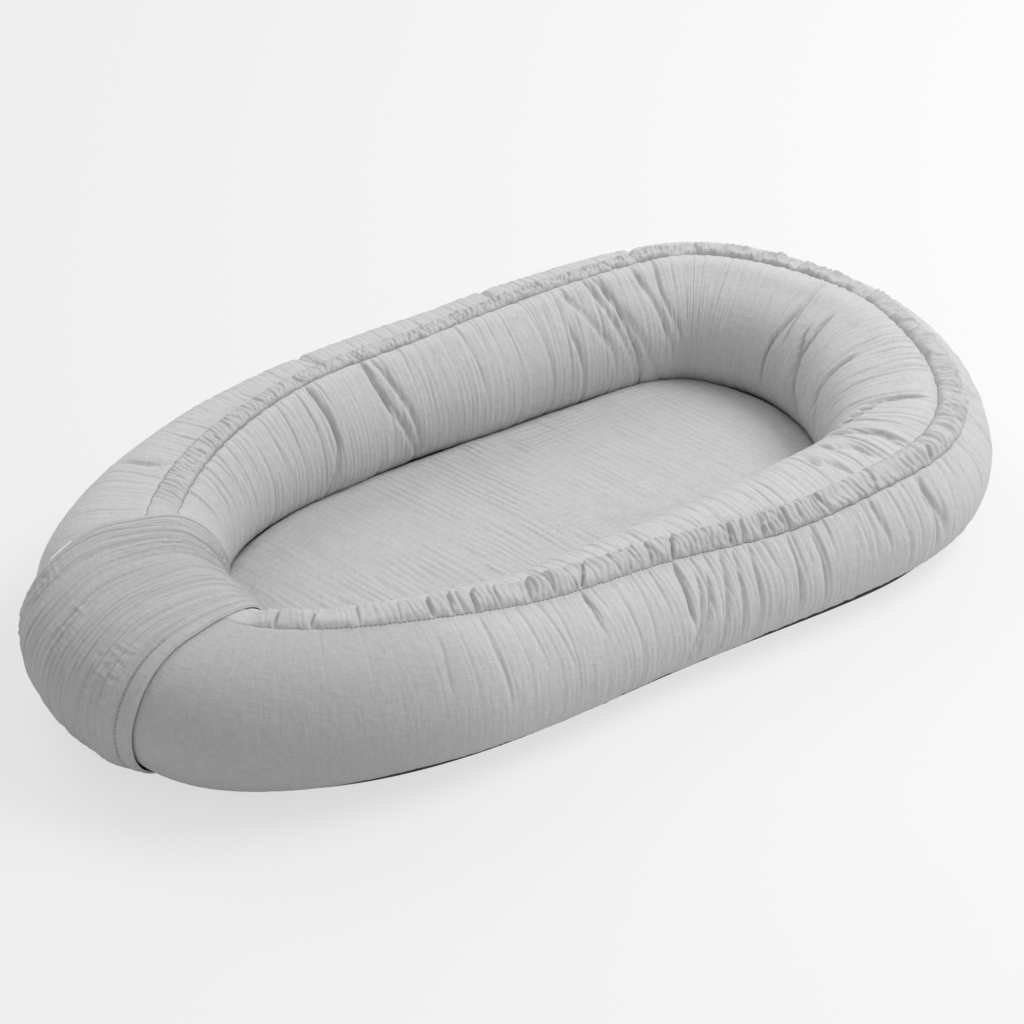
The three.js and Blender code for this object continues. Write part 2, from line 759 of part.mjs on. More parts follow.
add('base_panel', basePanel(), backing);
add('bolster_filling', bolsterFilling(), wadding);
add('bolster_outer_panel', coverPanel(1), muslin);
add('bolster_inner_panel', coverPanel(-1), muslin);
add('bolster_end_near', endPanel(stations[0], -1), muslin);
add('bolster_end_far', endPanel(stations.at(-1), 1), muslin);
add('drawstring_casing', drawstringCasing(), muslin);
add('drawcord', drawcord(), cord_grey);
add('cord_lock_barrel', lockBarrel(), moulded, seatLock);
add('cord_lock_plunger', lockPlunger(), moulded, seatLock);
add('cord_lock_spring', lockSpring(), steel, seatLock);
add('foot_wrap', footWrap(), muslin);
add('foot_wrap_end', footWrapEnd(), muslin);
add('side_label', sideLabel(), tape);
add('mattress_core', mattressCore(), foam);
add('mattress_cover', mattressCover(), muslin_top);

export default lounger;
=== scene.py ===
# %% [markdown]
# # An infant lounger in crinkled muslin
# The real object is a long soft roll bent into a ring, with a flat mattress inside it. A gathered
# casing with a drawcord runs along the crest, and a wrap covers the joint of the roll's two ends.
# Almost all that shows is one cloth, a double gauze, so the lesson is mostly about the folds of
# cloth gathered on a cord. The solid model gives every size and place, and each soft solid gets a
# finer surface on the same curves.

# %% Load the frame
import math

import bmesh
import bpy
import numpy as np
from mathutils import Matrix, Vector


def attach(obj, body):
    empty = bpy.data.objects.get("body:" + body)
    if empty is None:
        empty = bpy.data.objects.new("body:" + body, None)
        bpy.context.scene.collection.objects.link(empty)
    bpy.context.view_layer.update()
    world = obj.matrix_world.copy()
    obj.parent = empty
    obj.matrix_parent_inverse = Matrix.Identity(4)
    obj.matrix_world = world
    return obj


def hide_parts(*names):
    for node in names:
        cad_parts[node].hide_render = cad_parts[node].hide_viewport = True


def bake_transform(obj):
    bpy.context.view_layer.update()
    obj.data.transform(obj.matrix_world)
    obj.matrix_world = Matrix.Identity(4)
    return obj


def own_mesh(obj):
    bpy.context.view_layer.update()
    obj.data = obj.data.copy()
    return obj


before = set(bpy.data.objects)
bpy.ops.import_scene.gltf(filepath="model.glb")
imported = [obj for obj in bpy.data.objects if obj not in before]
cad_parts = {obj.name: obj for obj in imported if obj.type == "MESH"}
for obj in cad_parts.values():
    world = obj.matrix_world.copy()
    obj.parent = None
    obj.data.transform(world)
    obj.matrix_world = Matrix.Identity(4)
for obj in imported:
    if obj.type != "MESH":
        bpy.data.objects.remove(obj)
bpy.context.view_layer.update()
mm = 0.001

# %% [markdown]
# ## Camera
# The view decides how large a detail must be to count, so the camera comes first. It could be
# placed by eye, but one worked out from a distance, a turn and a height is easy to repeat. A
# short telephoto lens keeps the ring's shape honest.

# %% Camera sizes
view_turn = math.radians(-32)
view_height = math.radians(37)
view_distance = 2.107
view_target = Vector((0.0275, 0.042, 0))
lens_length = 81.25
sensor_width = 36


def add_object(name, data):
    """Puts a mesh, a camera or a lamp into the scene as an object."""
    item = bpy.data.objects.new(name, data)
    bpy.context.scene.collection.objects.link(item)
    return item


def look_along(item, direction):
    """Turns a camera or a lamp so that it looks along a direction."""
    item.rotation_mode = "QUATERNION"
    item.rotation_quaternion = direction.to_track_quat("-Z", "Y")


# %% Camera
def place_camera():
    """The camera stands view_distance back from its target along the turned and raised sight line."""
    level = math.cos(view_height)
    back = Vector((math.sin(view_turn) * level, -math.cos(view_turn) * level, math.sin(view_height)))
    data = bpy.data.cameras.new("camera")
    data.lens = lens_length
    data.sensor_width = sensor_width
    camera = add_object("camera", data)
    camera.location = view_target + back * view_distance
    look_along(camera, -back)
    bpy.context.scene.camera = camera
    print("camera at", [round(v, 3) for v in camera.location])


place_camera()

# %% [markdown]
# ## The ring
# Seen from above, the roll's middle line is one closed curve. It could be drawn by hand. A curve
# of pull points is smoother: each point of it is a weighted mean of four neighbours, so it never
# kinks. A place on the ring is a share of its length, from the head end over the far side and the
# foot.

# %% Ring sizes
ring_half_length = 375 * mm
ring_half_width = 187 * mm
ring_outline_shares = np.array([
    [1.077, 0.01], [0.861, 0.888], [0.611, 0.963], [0.029, 1.021], [-0.576, 0.957], [-0.97, 0.286],
    [-0.973, -0.289], [-0.885, -0.784], [-0.44, -1.025], [0.078, -0.951], [0.589, -0.979], [0.886, -0.92],
])
ring_samples = 2400


# %% Ring curve
def pulled(share):
    """A point of the closed curve: four neighbouring pull points, weighted as a cubic B-spline."""
    place = np.mod(share, 1.0) * len(ring_outline_shares)
    first = np.floor(place).astype(int)
    f = (place - first)[..., None]
    weights = [(1 - f) ** 3, 3 * f ** 3 - 6 * f ** 2 + 4, -3 * f ** 3 + 3 * f ** 2 + 3 * f + 1, f ** 3]
    near = [ring_outline_shares[(first + k - 1) % len(ring_outline_shares)] for k in range(4)]
    mean = sum(weight * point for weight, point in zip(weights, near)) / 6
    return mean * np.array([ring_half_length, ring_half_width])


ring_steps = np.linspace(0, 1, ring_samples + 1)
ring_gaps = np.linalg.norm(np.diff(pulled(ring_steps), axis=0), axis=1)
ring_run = np.concatenate([[0], np.cumsum(ring_gaps)])
ring_length = ring_run[-1]


def ring_frame(place):
    """Middle point and outward direction at a place, from the curve a little before and after it."""
    share = np.interp(np.mod(place, 1.0) * ring_length, ring_run, ring_steps)
    nudge = 1 / ring_samples
    along = pulled(share + nudge) - pulled(share - nudge)
    along /= np.linalg.norm(along, axis=-1, keepdims=True)
    return pulled(share), np.stack([along[..., 1], -along[..., 0]], -1)


def around(shares, place, least=-np.inf):
    """A value that passes smoothly through equally spaced shares round the ring and stays above
    the least. Between two shares it is a cubic whose slopes come from their neighbours."""
    shares = np.asarray(shares, float)
    x = np.mod(place, 1.0) * len(shares)
    first = np.floor(x).astype(int)
    f = x - first
    a, b, c, d = (shares[(first + k) % len(shares)] for k in (-1, 0, 1, 2))
    bend = 2 * a - 5 * b + 4 * c - d
    twist = 3 * b - a - 3 * c + d
    return np.maximum(least, 0.5 * (2 * b + (c - a) * f + bend * f ** 2 + twist * f ** 3))


def turn_from(place, centre):
    """The short way round the ring from a centre to a place, from -0.5 to 0.5."""
    return np.mod(place - centre + 0.5, 1.0) - 0.5


print("ring length", round(ring_length / mm), "mm")

# %% [markdown]
# ## The roll's section
# Stuffing makes a roll nearly round, but it sags: its sides stand steeper than a circle and its
# underside is flat. A power of the sine and cosine gives that. Width and height change slowly
# round the ring, as no stuffed roll is even. The casing's two seams are angles on this section.
# Both wander a little, and where the cord has drawn the casing to a rope the outer one comes
# close to the other.

# %% Section sizes
roll_half_width = 70 * mm
roll_height = 120 * mm
half_width_shares = [1.09, 0.94, 0.94, 0.906, 1.14, 0.955, 0.952, 1.04]
height_shares = [1.07, 1.08, 1, 0.993, 1.065, 1.053, 0.867, 0.95]
side_power = 0.85
under_power = 0.8
base_thickness = 2.4 * mm
panel_lift = 0.4 * mm
panel_edge = math.radians(78)
casing_width = 25 * mm
casing_shares = [
    0.393, 0.239, 0.121, 0.129, 0.043, 0.014, -0.193, -0.386,
    -0.49, -0.407, -0.214, -0.014, 0.05, 0.329, 0.371, 0.543,
]
outer_half_shares = [0.75, 0.5, 0.35, 0.32, 0.32, 0.4, 0.6, 0.9, 1, 1, 1, 1, 1, 1, 1, 0.95]
seam_wobble = 0.28 * mm
# waves round the ring, size, shift by side, start
seam_waves = [[97, 1, 1, 0], [151, 0.8, 0, 2], [239, 0.6, -1, 0]]
seam_sink = 0.45 * mm
inner_sink_shares = [10, 10, 9, 8, 7, 6, 4, 1, 1, 1, 1, 1, 1, 1.5, 3, 8]
end_half_gap = 13 * mm
end_draw = 14 * mm
end_draw_length = 84 * mm


# %% Section
def half_width(place):
    """Half the roll's width at a place: the usual half width times the share there."""
    return roll_half_width * around(half_width_shares, place)


def skin(place, angle, lift=0.0):
    """A point of the section: half width times the cosine outwards and half height times the sine
    up, each raised to a power, with lift added to both."""
    middle, outward = ring_frame(place)
    half = half_width(place)
    height = roll_height * around(height_shares, place)
    low = base_thickness + panel_lift
    centre = (low + height) / 2
    cosine = np.cos(angle)
    sine = np.sin(angle)
    out = (half + lift) * np.sign(cosine) * np.abs(cosine) ** side_power
    over = (height + lift - centre) * np.abs(sine)
    under = (low - lift - centre) * np.abs(sine) ** under_power
    rise = centre + np.where(sine >= 0, over, under)
    flat = middle + outward * out[..., None]
    return np.concatenate([flat, rise[..., None]], -1)


def seam_angle(place, side):
    """The angle whose cosine reaches a casing seam's offset: its middle, half the casing's width
    and a sum of waves. Side is 1 for the outer seam and -1 for the inner one."""
    turn = 2 * np.pi * place
    wander = 0
    for waves, size, shift, start in seam_waves:
        wander = wander + size * np.sin(waves * turn + shift * side + start)
    reach = side * casing_width / 2 * (around(outer_half_shares, place) if side > 0 else 1)
    offset = roll_half_width * around(casing_shares, place) + reach + seam_wobble * wander
    angle = np.arccos(np.minimum(1, np.abs(offset) / half_width(place)) ** (1 / side_power))
    return np.where(offset >= 0, angle, np.pi - angle)


def seam_depth(place, side):
    """How deep a seam lies: hardly at all on the outer side, and a crack where the ring bends."""
    return seam_sink * (1 if side > 0 else around(inner_sink_shares, place))


def drawn_in(place):
    """How far the roll thins towards its two ends: the square of the share left to the joint."""
    run = np.abs(turn_from(place, 0.5)) * ring_length - end_half_gap
    return end_draw * (1 - np.clip(run / end_draw_length, 0, 1)) ** 2


roll_start = 0.5 + end_half_gap / ring_length
roll_end = 1.5 - end_half_gap / ring_length
print("roll from place", round(roll_start, 4), "to", round(roll_end, 4))

# %% [markdown]
# ## From points to a mesh
# Each surface below is a grid of points. Blender can take a whole array at once, which is far
# faster than adding vertices one by one. The helper also keeps how far along the cloth each point
# lies as a UV map in metres, so that a weave has its real size.

# %% Grid steps
def row_steps(first, last, count, endpoint=True):
    """Even steps from row to row of a grid."""
    return np.linspace(first, last, count, endpoint)[:, None]


def column_steps(first, last, count, endpoint=True):
    """Even steps from column to column of a grid."""
    return np.linspace(first, last, count, endpoint)[None, :]


def crowded(count, push):
    """Shares from 0 to 1 across a grid that crowd towards both ends."""
    even = column_steps(0, 1, count)
    return even - push * np.sin(2 * np.pi * even)


# %% Mesh helper
def signed_volume(points, quads):
    """Six times the volume inside the faces, which is negative where they face inwards."""
    a, b, c, d = (points[quads[:, k]] for k in range(4))
    first = np.einsum("ij,ij->i", a, np.cross(b, c))
    return np.sum(first + np.einsum("ij,ij->i", a, np.cross(c, d)))


def cloth_lengths(grid):
    """Distance along the rows' middle and along each row, both in metres."""
    down = np.linalg.norm(np.diff(grid, axis=0), axis=2).mean(axis=1)
    across = np.linalg.norm(np.diff(grid, axis=1), axis=2)
    along = np.concatenate([[0], np.cumsum(down)])
    side = np.concatenate([np.zeros((len(grid), 1)), np.cumsum(across, axis=1)], axis=1)
    return np.stack([np.broadcast_to(along[:, None], side.shape), side], -1)


def grid_piece(name, grid, material, closed=True, caps=True, taut_shade=0):
    """A mesh of quads over a grid of points. Where closed, the last column joins the first one.
    taut_shade says where the cloth is pulled flat, from 0 to 1, and is kept as an attribute; the
    cloth material paints shade there."""
    rows, columns = grid.shape[:2]
    points = grid.reshape(-1, 3)
    index = np.arange(rows * columns).reshape(rows, columns)
    cloth = grid
    if closed:
        index = np.concatenate([index, index[:, :1]], axis=1)
        cloth = np.concatenate([grid, grid[:, :1]], axis=1)
    low, high = slice(None, -1), slice(1, None)
    corners = [(low, low), (high, low), (high, high), (low, high)]
    quads = np.stack([index[c] for c in corners], -1).reshape(-1, 4)
    lengths = cloth_lengths(cloth)
    uv = np.stack([lengths[c] for c in corners], 2).reshape(-1, 4, 2)
    ends = [index[0, :columns], index[-1, :columns][::-1]] if caps else []
    if signed_volume(points, quads) < 0:
        quads = quads[:, ::-1]
        uv = uv[:, ::-1]
        ends = [end[::-1] for end in ends]
    loops = np.concatenate([quads.ravel(), *ends])
    starts = np.concatenate([np.arange(len(quads)) * 4, len(quads) * 4 + np.arange(len(ends)) * columns])
    flat = np.zeros((len(loops), 2), np.float32)
    flat[:quads.size] = uv.reshape(-1, 2)
    mesh = bpy.data.meshes.new(name)
    mesh.vertices.add(len(points))
    mesh.vertices.foreach_set("co", points.astype(np.float32).ravel())
    mesh.loops.add(len(loops))
    mesh.loops.foreach_set("vertex_index", loops.astype(np.int32))
    mesh.polygons.add(len(starts))
    mesh.polygons.foreach_set("loop_start", starts.astype(np.int32))
    mesh.polygons.foreach_set("use_smooth", np.ones(len(starts), bool))
    mesh.uv_layers.new(name="cloth").data.foreach_set("uv", flat.ravel())
    taut_shade_values = np.broadcast_to(taut_shade, (rows, columns)).astype(np.float32)
    mesh.attributes.new("taut_shade", "FLOAT", "POINT").data.foreach_set("value", taut_shade_values.ravel())
    mesh.update(calc_edges=True)
    mesh.validate()
    mesh.materials.append(material)
    print(name, len(points), "points")
    return add_object(name, mesh)


def settle(piece, body, slot, *nodes):
    """Lets a finished piece move with its body and stand for its solids. The slot is not used."""
    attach(piece, body)
    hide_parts(*nodes)
    return piece


# %% [markdown]
# ## Random folds that repeat
# Gathers look random, but have to come out the same each time, so every draw has a seed. Soft
# noise is a lattice of random heights with smooth steps between them. Gathers are rows of rounded
# ridges with sharp valleys, which is how cloth stands when it is pushed together on a thread. A
# pleat is one narrow valley that starts at a seam and fades.

# %% Noise and gathers
ridge_power = 0.7
valley_power = 1.3


def soft_noise(seed, across, down, cells_across, cells_down):
    """Smooth random heights from -1 to 1. Across repeats after 1, so that a ring closes."""
    heights = np.random.default_rng(seed).uniform(-1, 1, (cells_across, cells_down + 2))
    x = np.mod(across, 1.0) * cells_across
    y = np.clip(down, 0, 1) * cells_down
    i = np.floor(x).astype(int)
    j = np.minimum(np.floor(y).astype(int), cells_down)
    ease_x = (x - i) ** 2 * (3 - 2 * (x - i))
    ease_y = (y - j) ** 2 * (3 - 2 * (y - j))
    at = [heights[(i + a) % cells_across, j + b] for a in (0, 1) for b in (0, 1)]
    near = at[0] + (at[1] - at[0]) * ease_y
    far = at[2] + (at[3] - at[2]) * ease_y
    return near + (far - near) * ease_x


def ramp(value, low, high):
    """0 below low, 1 above high, and a smooth step between them."""
    share = np.clip((value - low) / (high - low), 0, 1)
    return share ** 2 * (3 - 2 * share)


def hill(value, centre, width):
    """1 at the centre, falling away on both sides as the exponential of a square does."""
    return np.exp(-((value - centre) / width) ** 2)


def held_to(depth, limit):
    """Depth that levels off at a limit, as one minus an exponential does, so that crossing folds
    never cut too deep."""
    return limit * (1 - np.exp(-depth / limit))


def leaning_valley(gap, flanks, power):
    """1 at the bottom, falling off on the right and on the left with a steepness of its own."""
    return np.exp(-np.abs(gap * np.where(gap > 0, *flanks)) ** power)


def ridge_row(phase):
    """Rounded ridges with sharp valleys between them: a power of a sine's size."""
    return np.abs(np.sin(np.pi * phase)) ** ridge_power


def gathers(seed, across, down, count, fades):
    """Ridges from 0 to 1, count of them across. They wander sideways by a share of their spacing,
    and each one swells and fades on its way down."""
    wander = 0.8 * soft_noise(seed, across, down, max(2, count // 5), 2)
    wander = wander + 0.25 * soft_noise(seed + 1, across, down, max(2, count // 2), 3)
    bent = across + wander / count
    swell = 0.55 + 0.45 * soft_noise(seed + 2, bent + 0.5 / count, down, count, fades)
    return ridge_row(bent * count) * swell


def ring_gathers(seed, place, down, spacing, height, fades):
    """Gathers of a height, as many as their spacing gives round the ring."""
    return height * gathers(seed, place, down, int(ring_length / spacing), fades)


# %% Pleats
def pleat_family(seed, spacing, depth, width, reach, lean):
    """One pleat for each spacing of the ring, jittered, with its own depth, width, reach and lean."""
    random = np.random.default_rng(seed)
    count = int(ring_length / spacing)
    return np.stack([
        (np.arange(count) + random.uniform(0, 1, count)) / count,
        depth * random.uniform(0.15, 1, count) ** 1.6,
        width * random.uniform(0.7, 1.4, count),
        reach * random.uniform(0.25, 1, count),
        lean * random.uniform(-1, 1, count),
    ], axis=1)


def pleat_depth(family, place, distance, amount):
    """The sum of the family's valleys: each falls off sideways and fades away from the seam."""
    total = np.zeros(np.broadcast(place, distance).shape)
    for centre, depth, width, reach, lean in family:
        turn = turn_from(place, centre)
        near = np.abs(turn[:, 0]) * ring_length < 8 * width + abs(lean) * 2 * reach
        gap = np.abs(turn[near] * ring_length - lean * distance[near]) / width
        fade = 1 - ramp(distance[near], 0.3 * reach, reach)
        total[near] += depth * amount(centre) * np.exp(-gap ** valley_power) * fade
    return total


# %% [markdown]
# ## Shader steps
# A shader is a chain of small steps, which is hard to follow when every setting has a line. Two
# helpers shorten that: one adds a step, and one sets its inputs or joins them to other steps.

# %% Shader helpers
def join(tree, node, inputs):
    """Sets each input, given by name or number, to a value, or joins it to another step's output."""
    for key, value in inputs.items():
        if isinstance(value, bpy.types.NodeSocket):
            tree.links.new(value, node.inputs[key])
        else:
            node.inputs[key].default_value = value


def step(tree, kind, inputs, operation=None):
    """Adds one step to a shader and gives back its outputs."""
    node = tree.nodes.new("ShaderNode" + kind)
    if operation:
        node.operation = operation
    join(tree, node, inputs)
    return node.outputs


def new_material(name, settings):
    """A material with its plain values set, its tree and its shader."""
    material = bpy.data.materials.new(name)
    material.use_nodes = True
    shader = material.node_tree.nodes["Principled BSDF"]
    join(material.node_tree, shader, settings)
    return material, material.node_tree, shader


# %% [markdown]
# ## Muslin, and the other finishes
# Double gauze is two thin layers tacked together. In the wash it shrinks and crinkles, so it has
# soft ripples of a few millimetres over a loose weave. The ripples that catch the light are in
# the meshes. The finer ones and the threads are bump, from noise stretched along each thread,
# which is uneven as threads are and never gives a moire pattern. One node group serves every
# cloth.

# %% Cloth node group
# The Shade output follows the threads' own uneven tone, and with a smaller share the ripples that drive
# the bump, so it also paints a little shade into the ripples' low parts.
shade_range = {"From Min": 0.9, "From Max": 1.7, "To Min": 0.9, "To Max": 1.08}


def cloth_group():
    """Threads both ways and ripples both ways. Each is noise that is stretched along its own line."""
    tree = bpy.data.node_groups.new("crinkled_cloth", "ShaderNodeTree")
    scales = ("Warp", "Weft", "Ripple", "Cross")
    for name in ("Vector", *scales):
        tree.interface.new_socket(name, in_out="INPUT", socket_type="NodeSocketVector")
    for name in ("Height", "Shade"):
        tree.interface.new_socket(name, in_out="OUTPUT", socket_type="NodeSocketFloat")
    inside = tree.nodes.new("NodeGroupInput").outputs
    noises = {}
    for name in scales:
        scaled = step(tree, "VectorMath", {0: inside["Vector"], 1: inside[name]}, "MULTIPLY")
        noises[name] = step(tree, "TexNoise", {"Vector": scaled[0], "Scale": 1, "Detail": 1})["Fac"]

    def weigh(first, second, share):
        """The first value and a share of the second one, added."""
        return step(tree, "Math", {0: second, 1: share, 2: first}, "MULTIPLY_ADD")[0]

    threads = weigh(noises["Warp"], noises["Weft"], 1)
    ripples = weigh(noises["Ripple"], noises["Cross"], 0.7)
    shade = step(tree, "MapRange", {"Value": weigh(threads, ripples, 0.35), **shade_range})
    outside = tree.nodes.new("NodeGroupOutput")
    join(tree, outside, {"Height": weigh(ripples, threads, 0.25), "Shade": shade[0]})
    return tree


crinkled_cloth = cloth_group()
print("cloth group", len(crinkled_cloth.nodes), "nodes")

# %% [markdown]
# ## One recipe for every cloth
# Cloths differ in colour, in the width of their threads and ripples, and in how high they stand.
# Where gauze is pulled flat its colour is made darker: painted shade on the smooth stretches,
# the casing and the wrap. The meshes carry how flat they are, so one material shows both.

# %% Cloth material
# how much darker the colour is painted where the cloth is pulled flat: painted shade
taut_shade_strength = 0.26


def cloth(name, colour, roughness=0.95, thread=1, ripple=4.5, bump=0.6, sheen=0.12):
    """A cloth of one colour, with painted shade where it is pulled flat. Thread, ripple and bump are in
    mm.
    """
    material, tree, shader = new_material(name, {
        "Roughness": roughness, "Sheen Weight": sheen, "Sheen Roughness": 0.5, "Specular IOR Level": 0.2,
    })
    where = tree.nodes.new("ShaderNodeUVMap")
    where.uv_map = "cloth"
    group = tree.nodes.new("ShaderNodeGroup")
    group.node_tree = crinkled_cloth
    fine = 1 / (thread * mm)
    soft = 1 / (ripple * mm)
    join(tree, group, {
        "Vector": where.outputs["UV"], "Warp": (fine, fine / 8, 0), "Weft": (fine / 8, fine, 0),
        "Ripple": (soft, soft / 4, 0), "Cross": (soft / 3, soft, 0),
    })
    taut_shade = tree.nodes.new("ShaderNodeAttribute")
    taut_shade.attribute_name = "taut_shade"
    # painted shade: the colour loses this share where the cloth is pulled flat
    after_taut_shade = step(tree, "Math", {0: taut_shade.outputs["Fac"], 1: -taut_shade_strength, 2: 1}, "MULTIPLY_ADD")
    shade = step(tree, "Math", {0: group.outputs["Shade"], 1: after_taut_shade[0]}, "MULTIPLY")
    tinted = step(tree, "VectorMath", {0: colour, "Scale": shade[0]}, "SCALE")
    raised = step(tree, "Bump", {"Strength": 1, "Distance": bump * mm, "Height": group.outputs["Height"]})
    join(tree, shader, {"Base Color": tinted[0], "Normal": raised[0]})
    print(name, "cloth")
    return material


muslin = cloth("muslin", (0.55, 0.55, 0.55))
# the mattress's muslin is the roll's cloth made a little darker: painted shade that tones down its
# up-facing top
muslin_top = cloth("muslin_top", (0.52, 0.52, 0.52), bump=0.4)
# the backing is darker than its fabric: partly its own colour, partly painted shade for the roll's
# contact shadow
backing = cloth("backing", (0.1, 0.1, 0.1), thread=0.5, ripple=12, bump=0.2)
wadding = cloth("wadding", (0.86, 0.86, 0.84), thread=2, ripple=9, bump=1.5, sheen=0.3)
foam = cloth("foam", (0.87, 0.85, 0.75), thread=1.2, ripple=2.5, bump=0.5, sheen=0)
tape = cloth("tape", (0.82, 0.82, 0.81), roughness=0.6, thread=0.35, ripple=8, bump=0.1)
cord_braid = cloth("braid", (0.4, 0.4, 0.4), thread=0.7, ripple=2, bump=0.4)
seam_thread = cloth("seam_thread", (0.26, 0.26, 0.26), thread=0.3, ripple=3, bump=0.1)
hem_thread = cloth("hem_thread", (0.4, 0.4, 0.4), thread=0.3, ripple=3, bump=0.1)

# %% [markdown]
# ## Moulded plastic and spring wire
# The cord lock is the only hard part. Moulded plastic has a fine spark texture and a soft gloss,
# and drawn wire has faint lines. Both read Object coordinates, as the lock's solids have no UV
# map. The spring shortens when the plunger is pressed; here it only gets a mesh of its own.

# %% Hard materials
grain_height = 0.03 * mm


def hard(name, colour, roughness, metallic, grain, spread):
    """A hard surface whose gloss and height vary with a fine grain."""
    material, tree, shader = new_material(name, {"Base Color": (*colour, 1), "Metallic": metallic})
    where = step(tree, "TexCoord", {})
    noise = step(tree, "TexNoise", {"Vector": where["Object"], "Scale": 1 / (grain * mm)})
    ends = {"To Min": roughness - spread, "To Max": roughness + spread}
    gloss = step(tree, "MapRange", {"Value": noise["Fac"], **ends})
    raised = step(tree, "Bump", {"Height": noise["Fac"], "Distance": grain_height})
    join(tree, shader, {"Roughness": gloss[0], "Normal": raised[0]})
    return material


# %% Cord lock
def finish_solid(name, material, slot):
    """Gives one of the solids that stay as they are a material of its own."""
    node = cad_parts[name]
    node.data.materials.clear()
    node.data.materials.append(material)
    print(name, "finished as", slot)
    return node


def shorten(spring):
    """Gives the spring a mesh of its own. On the real lock, pressing the plunger shortens it, and its far
    end stays where it is.
    """
    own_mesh(spring)


spark_grain = hard("spark_grain", (0.32, 0.32, 0.32), 0.45, 0, 0.4, 0.08)
drawn_wire = hard("drawn_wire", (0.56, 0.57, 0.58), 0.3, 1, 0.2, 0.08)
finish_solid("cord_lock_barrel", spark_grain, "moulded")
finish_solid("cord_lock_plunger", spark_grain, "moulded")
shorten(finish_solid("cord_lock_spring", drawn_wire, "steel"))

# %% [markdown]
# ## Creases of the roll's cover
# The cover is longer than its cord, so the spare cloth stands up in folds that run round the
# roll, the deep ones where the ring bends or the stuffing is parted. A cloth simulation would put
# them where it likes. Their places matter here, so each is a line of points on the panel.

# %% Crease places
crease_depth = 12.5 * mm
crease_width = 1.75 * mm
crease_slope = 4
crease_flanks = [1.35, 0.75]
crease_power = 1.25
sharp_share = 0.85
swell_share = 0.08
swell_band = [3.4, 1.8]
# depth and width in percent, then point after point: the place on the ring in ten-thousandths,
# and the share down the panel in percent
inner_creases = [
    [85, 90, 2854, 2, 2858, 17, 2825, 34, 2750, 52, 2700, 64],
    [60, 90, 2800, 4, 2775, 18, 2742, 31, 2712, 44, 2675, 61], [35, 80, 2863, 25, 2833, 37],
    [75, 90, 3183, 2, 3183, 8, 3179, 15, 3171, 28, 3171, 40, 3204, 53, 3250, 65],
    [45, 90, 1733, 7, 1679, 19, 1613, 34, 1546, 47],
    [85, 90, 1533, 2, 1513, 10, 1475, 26, 1450, 40, 1408, 53, 1371, 67],
    [50, 80, 1596, -1, 1558, 18, 1504, 37, 1438, 54, 1400, 68],
    [45, 80, 1767, 30, 1746, 42, 1729, 54, 1721, 69], [40, 100, 1188, 3, 1204, 21, 1183, 32, 1096, 44],
    [45, 100, 1321, 6, 1263, 28, 1225, 42, 1171, 52], [50, 100, 1442, 31, 1392, 43, 1329, 56, 1221, 73],
    [80, 70, 208, 23, 229, 32, 263, 40, 279, 47, 296, 57],
    [100, 70, -8, 21, -25, 33, -29, 38, -50, 46, -83, 56, -142, 64], [70, 70, 50, 30, 4, 36, -17, 42],
    [40, 100, 213, 3, 204, 12, 183, 24, 175, 34], [80, 70, 9646, 26, 9625, 39, 9613, 47, 9529, 55],
    [90, 70, 9233, 9, 9225, 15, 9200, 20, 9125, 25, 9008, 31, 8904, 35],
    [60, 100, 8871, 2, 8896, 8, 8875, 15, 8829, 23], [50, 90, 8742, 1, 8733, 6, 8700, 13, 8650, 17],
    [50, 90, 8588, -1, 8571, 4, 8550, 9, 8508, 12],
]
outer_creases = [
    [55, 80, 7554, 1, 7542, 9, 7533, 19, 7521, 30], [40, 80, 7613, 15, 7583, 28, 7546, 43, 7483, 58],
    [35, 80, 7658, 16, 7625, 27, 7583, 41, 7533, 55],
    [30, 80, 7767, 4, 7742, 15, 7708, 30, 7679, 45, 7663, 63],
    [25, 80, 7829, 4, 7800, 20, 7783, 36, 7771, 52], [25, 80, 7913, 2, 7879, 20, 7871, 35, 7858, 52],
    [30, 80, 8096, 1, 8088, 21, 8079, 37, 8079, 53], [30, 80, 8208, 7, 8213, 23, 8217, 41, 8229, 60],
    [20, 90, 6604, 3, 6596, 20, 6608, 40], [15, 100, 6400, 11, 6383, 29],
    [35, 80, 7087, 1, 7087, 9, 7083, 18], [45, 100, 8804, 0, 8788, 11, 8800, 22, 8825, 34],
    [25, 90, 8538, 4, 8542, 15, 8563, 26], [25, 90, 8767, 16, 8796, 32, 8796, 48],
    [60, 120, 4033, -1, 4100, 6, 4096, 14], [50, 100, 2000, 5, 2000, 30, 2030, 50],
    [60, 100, 400, 2, 360, 20, 380, 45], [50, 100, 3000, 5, 3030, 25, 3000, 50],
    [50, 100, 1200, 3, 1180, 30, 1200, 50],
]


# %% Creases
def crease_sum(side, place, share):
    """Each crease is a sharp valley in a wide shallow one, with a low swell on its steeper flank.
    It fades at both ends, next to the seam and low down."""
    total = np.zeros(np.broadcast(place, share).shape)
    below = (0.2 + 0.8 * ramp(share, 0, 0.07)) * (1 - 0.55 * ramp(share, 0.3, 0.55))
    for depth, width, *line in outer_creases if side > 0 else inner_creases:
        places = np.array(line[::2]) / 10000
        shares = np.array(line[1::2]) / 100
        run = turn_from(place, np.interp(share, shares, places)) * ring_length
        gap = run / (crease_width * width / 100)
        shape = sharp_share * leaning_valley(gap, crease_flanks, crease_power) * below
        shape = shape + (1 - sharp_share) * hill(gap, 0, crease_slope) * below ** 2
        shape = shape - swell_share * hill(gap, *swell_band)
        fade = ramp(share, shares[0] - 0.07, shares[0] + 0.03)
        fade = fade * (1 - ramp(share, shares[-1] - 0.02, shares[-1] + 0.14))
        total += crease_depth * depth / 100 * shape * fade
    return total


print("creases", len(inner_creases), "inside and", len(outer_creases), "outside")

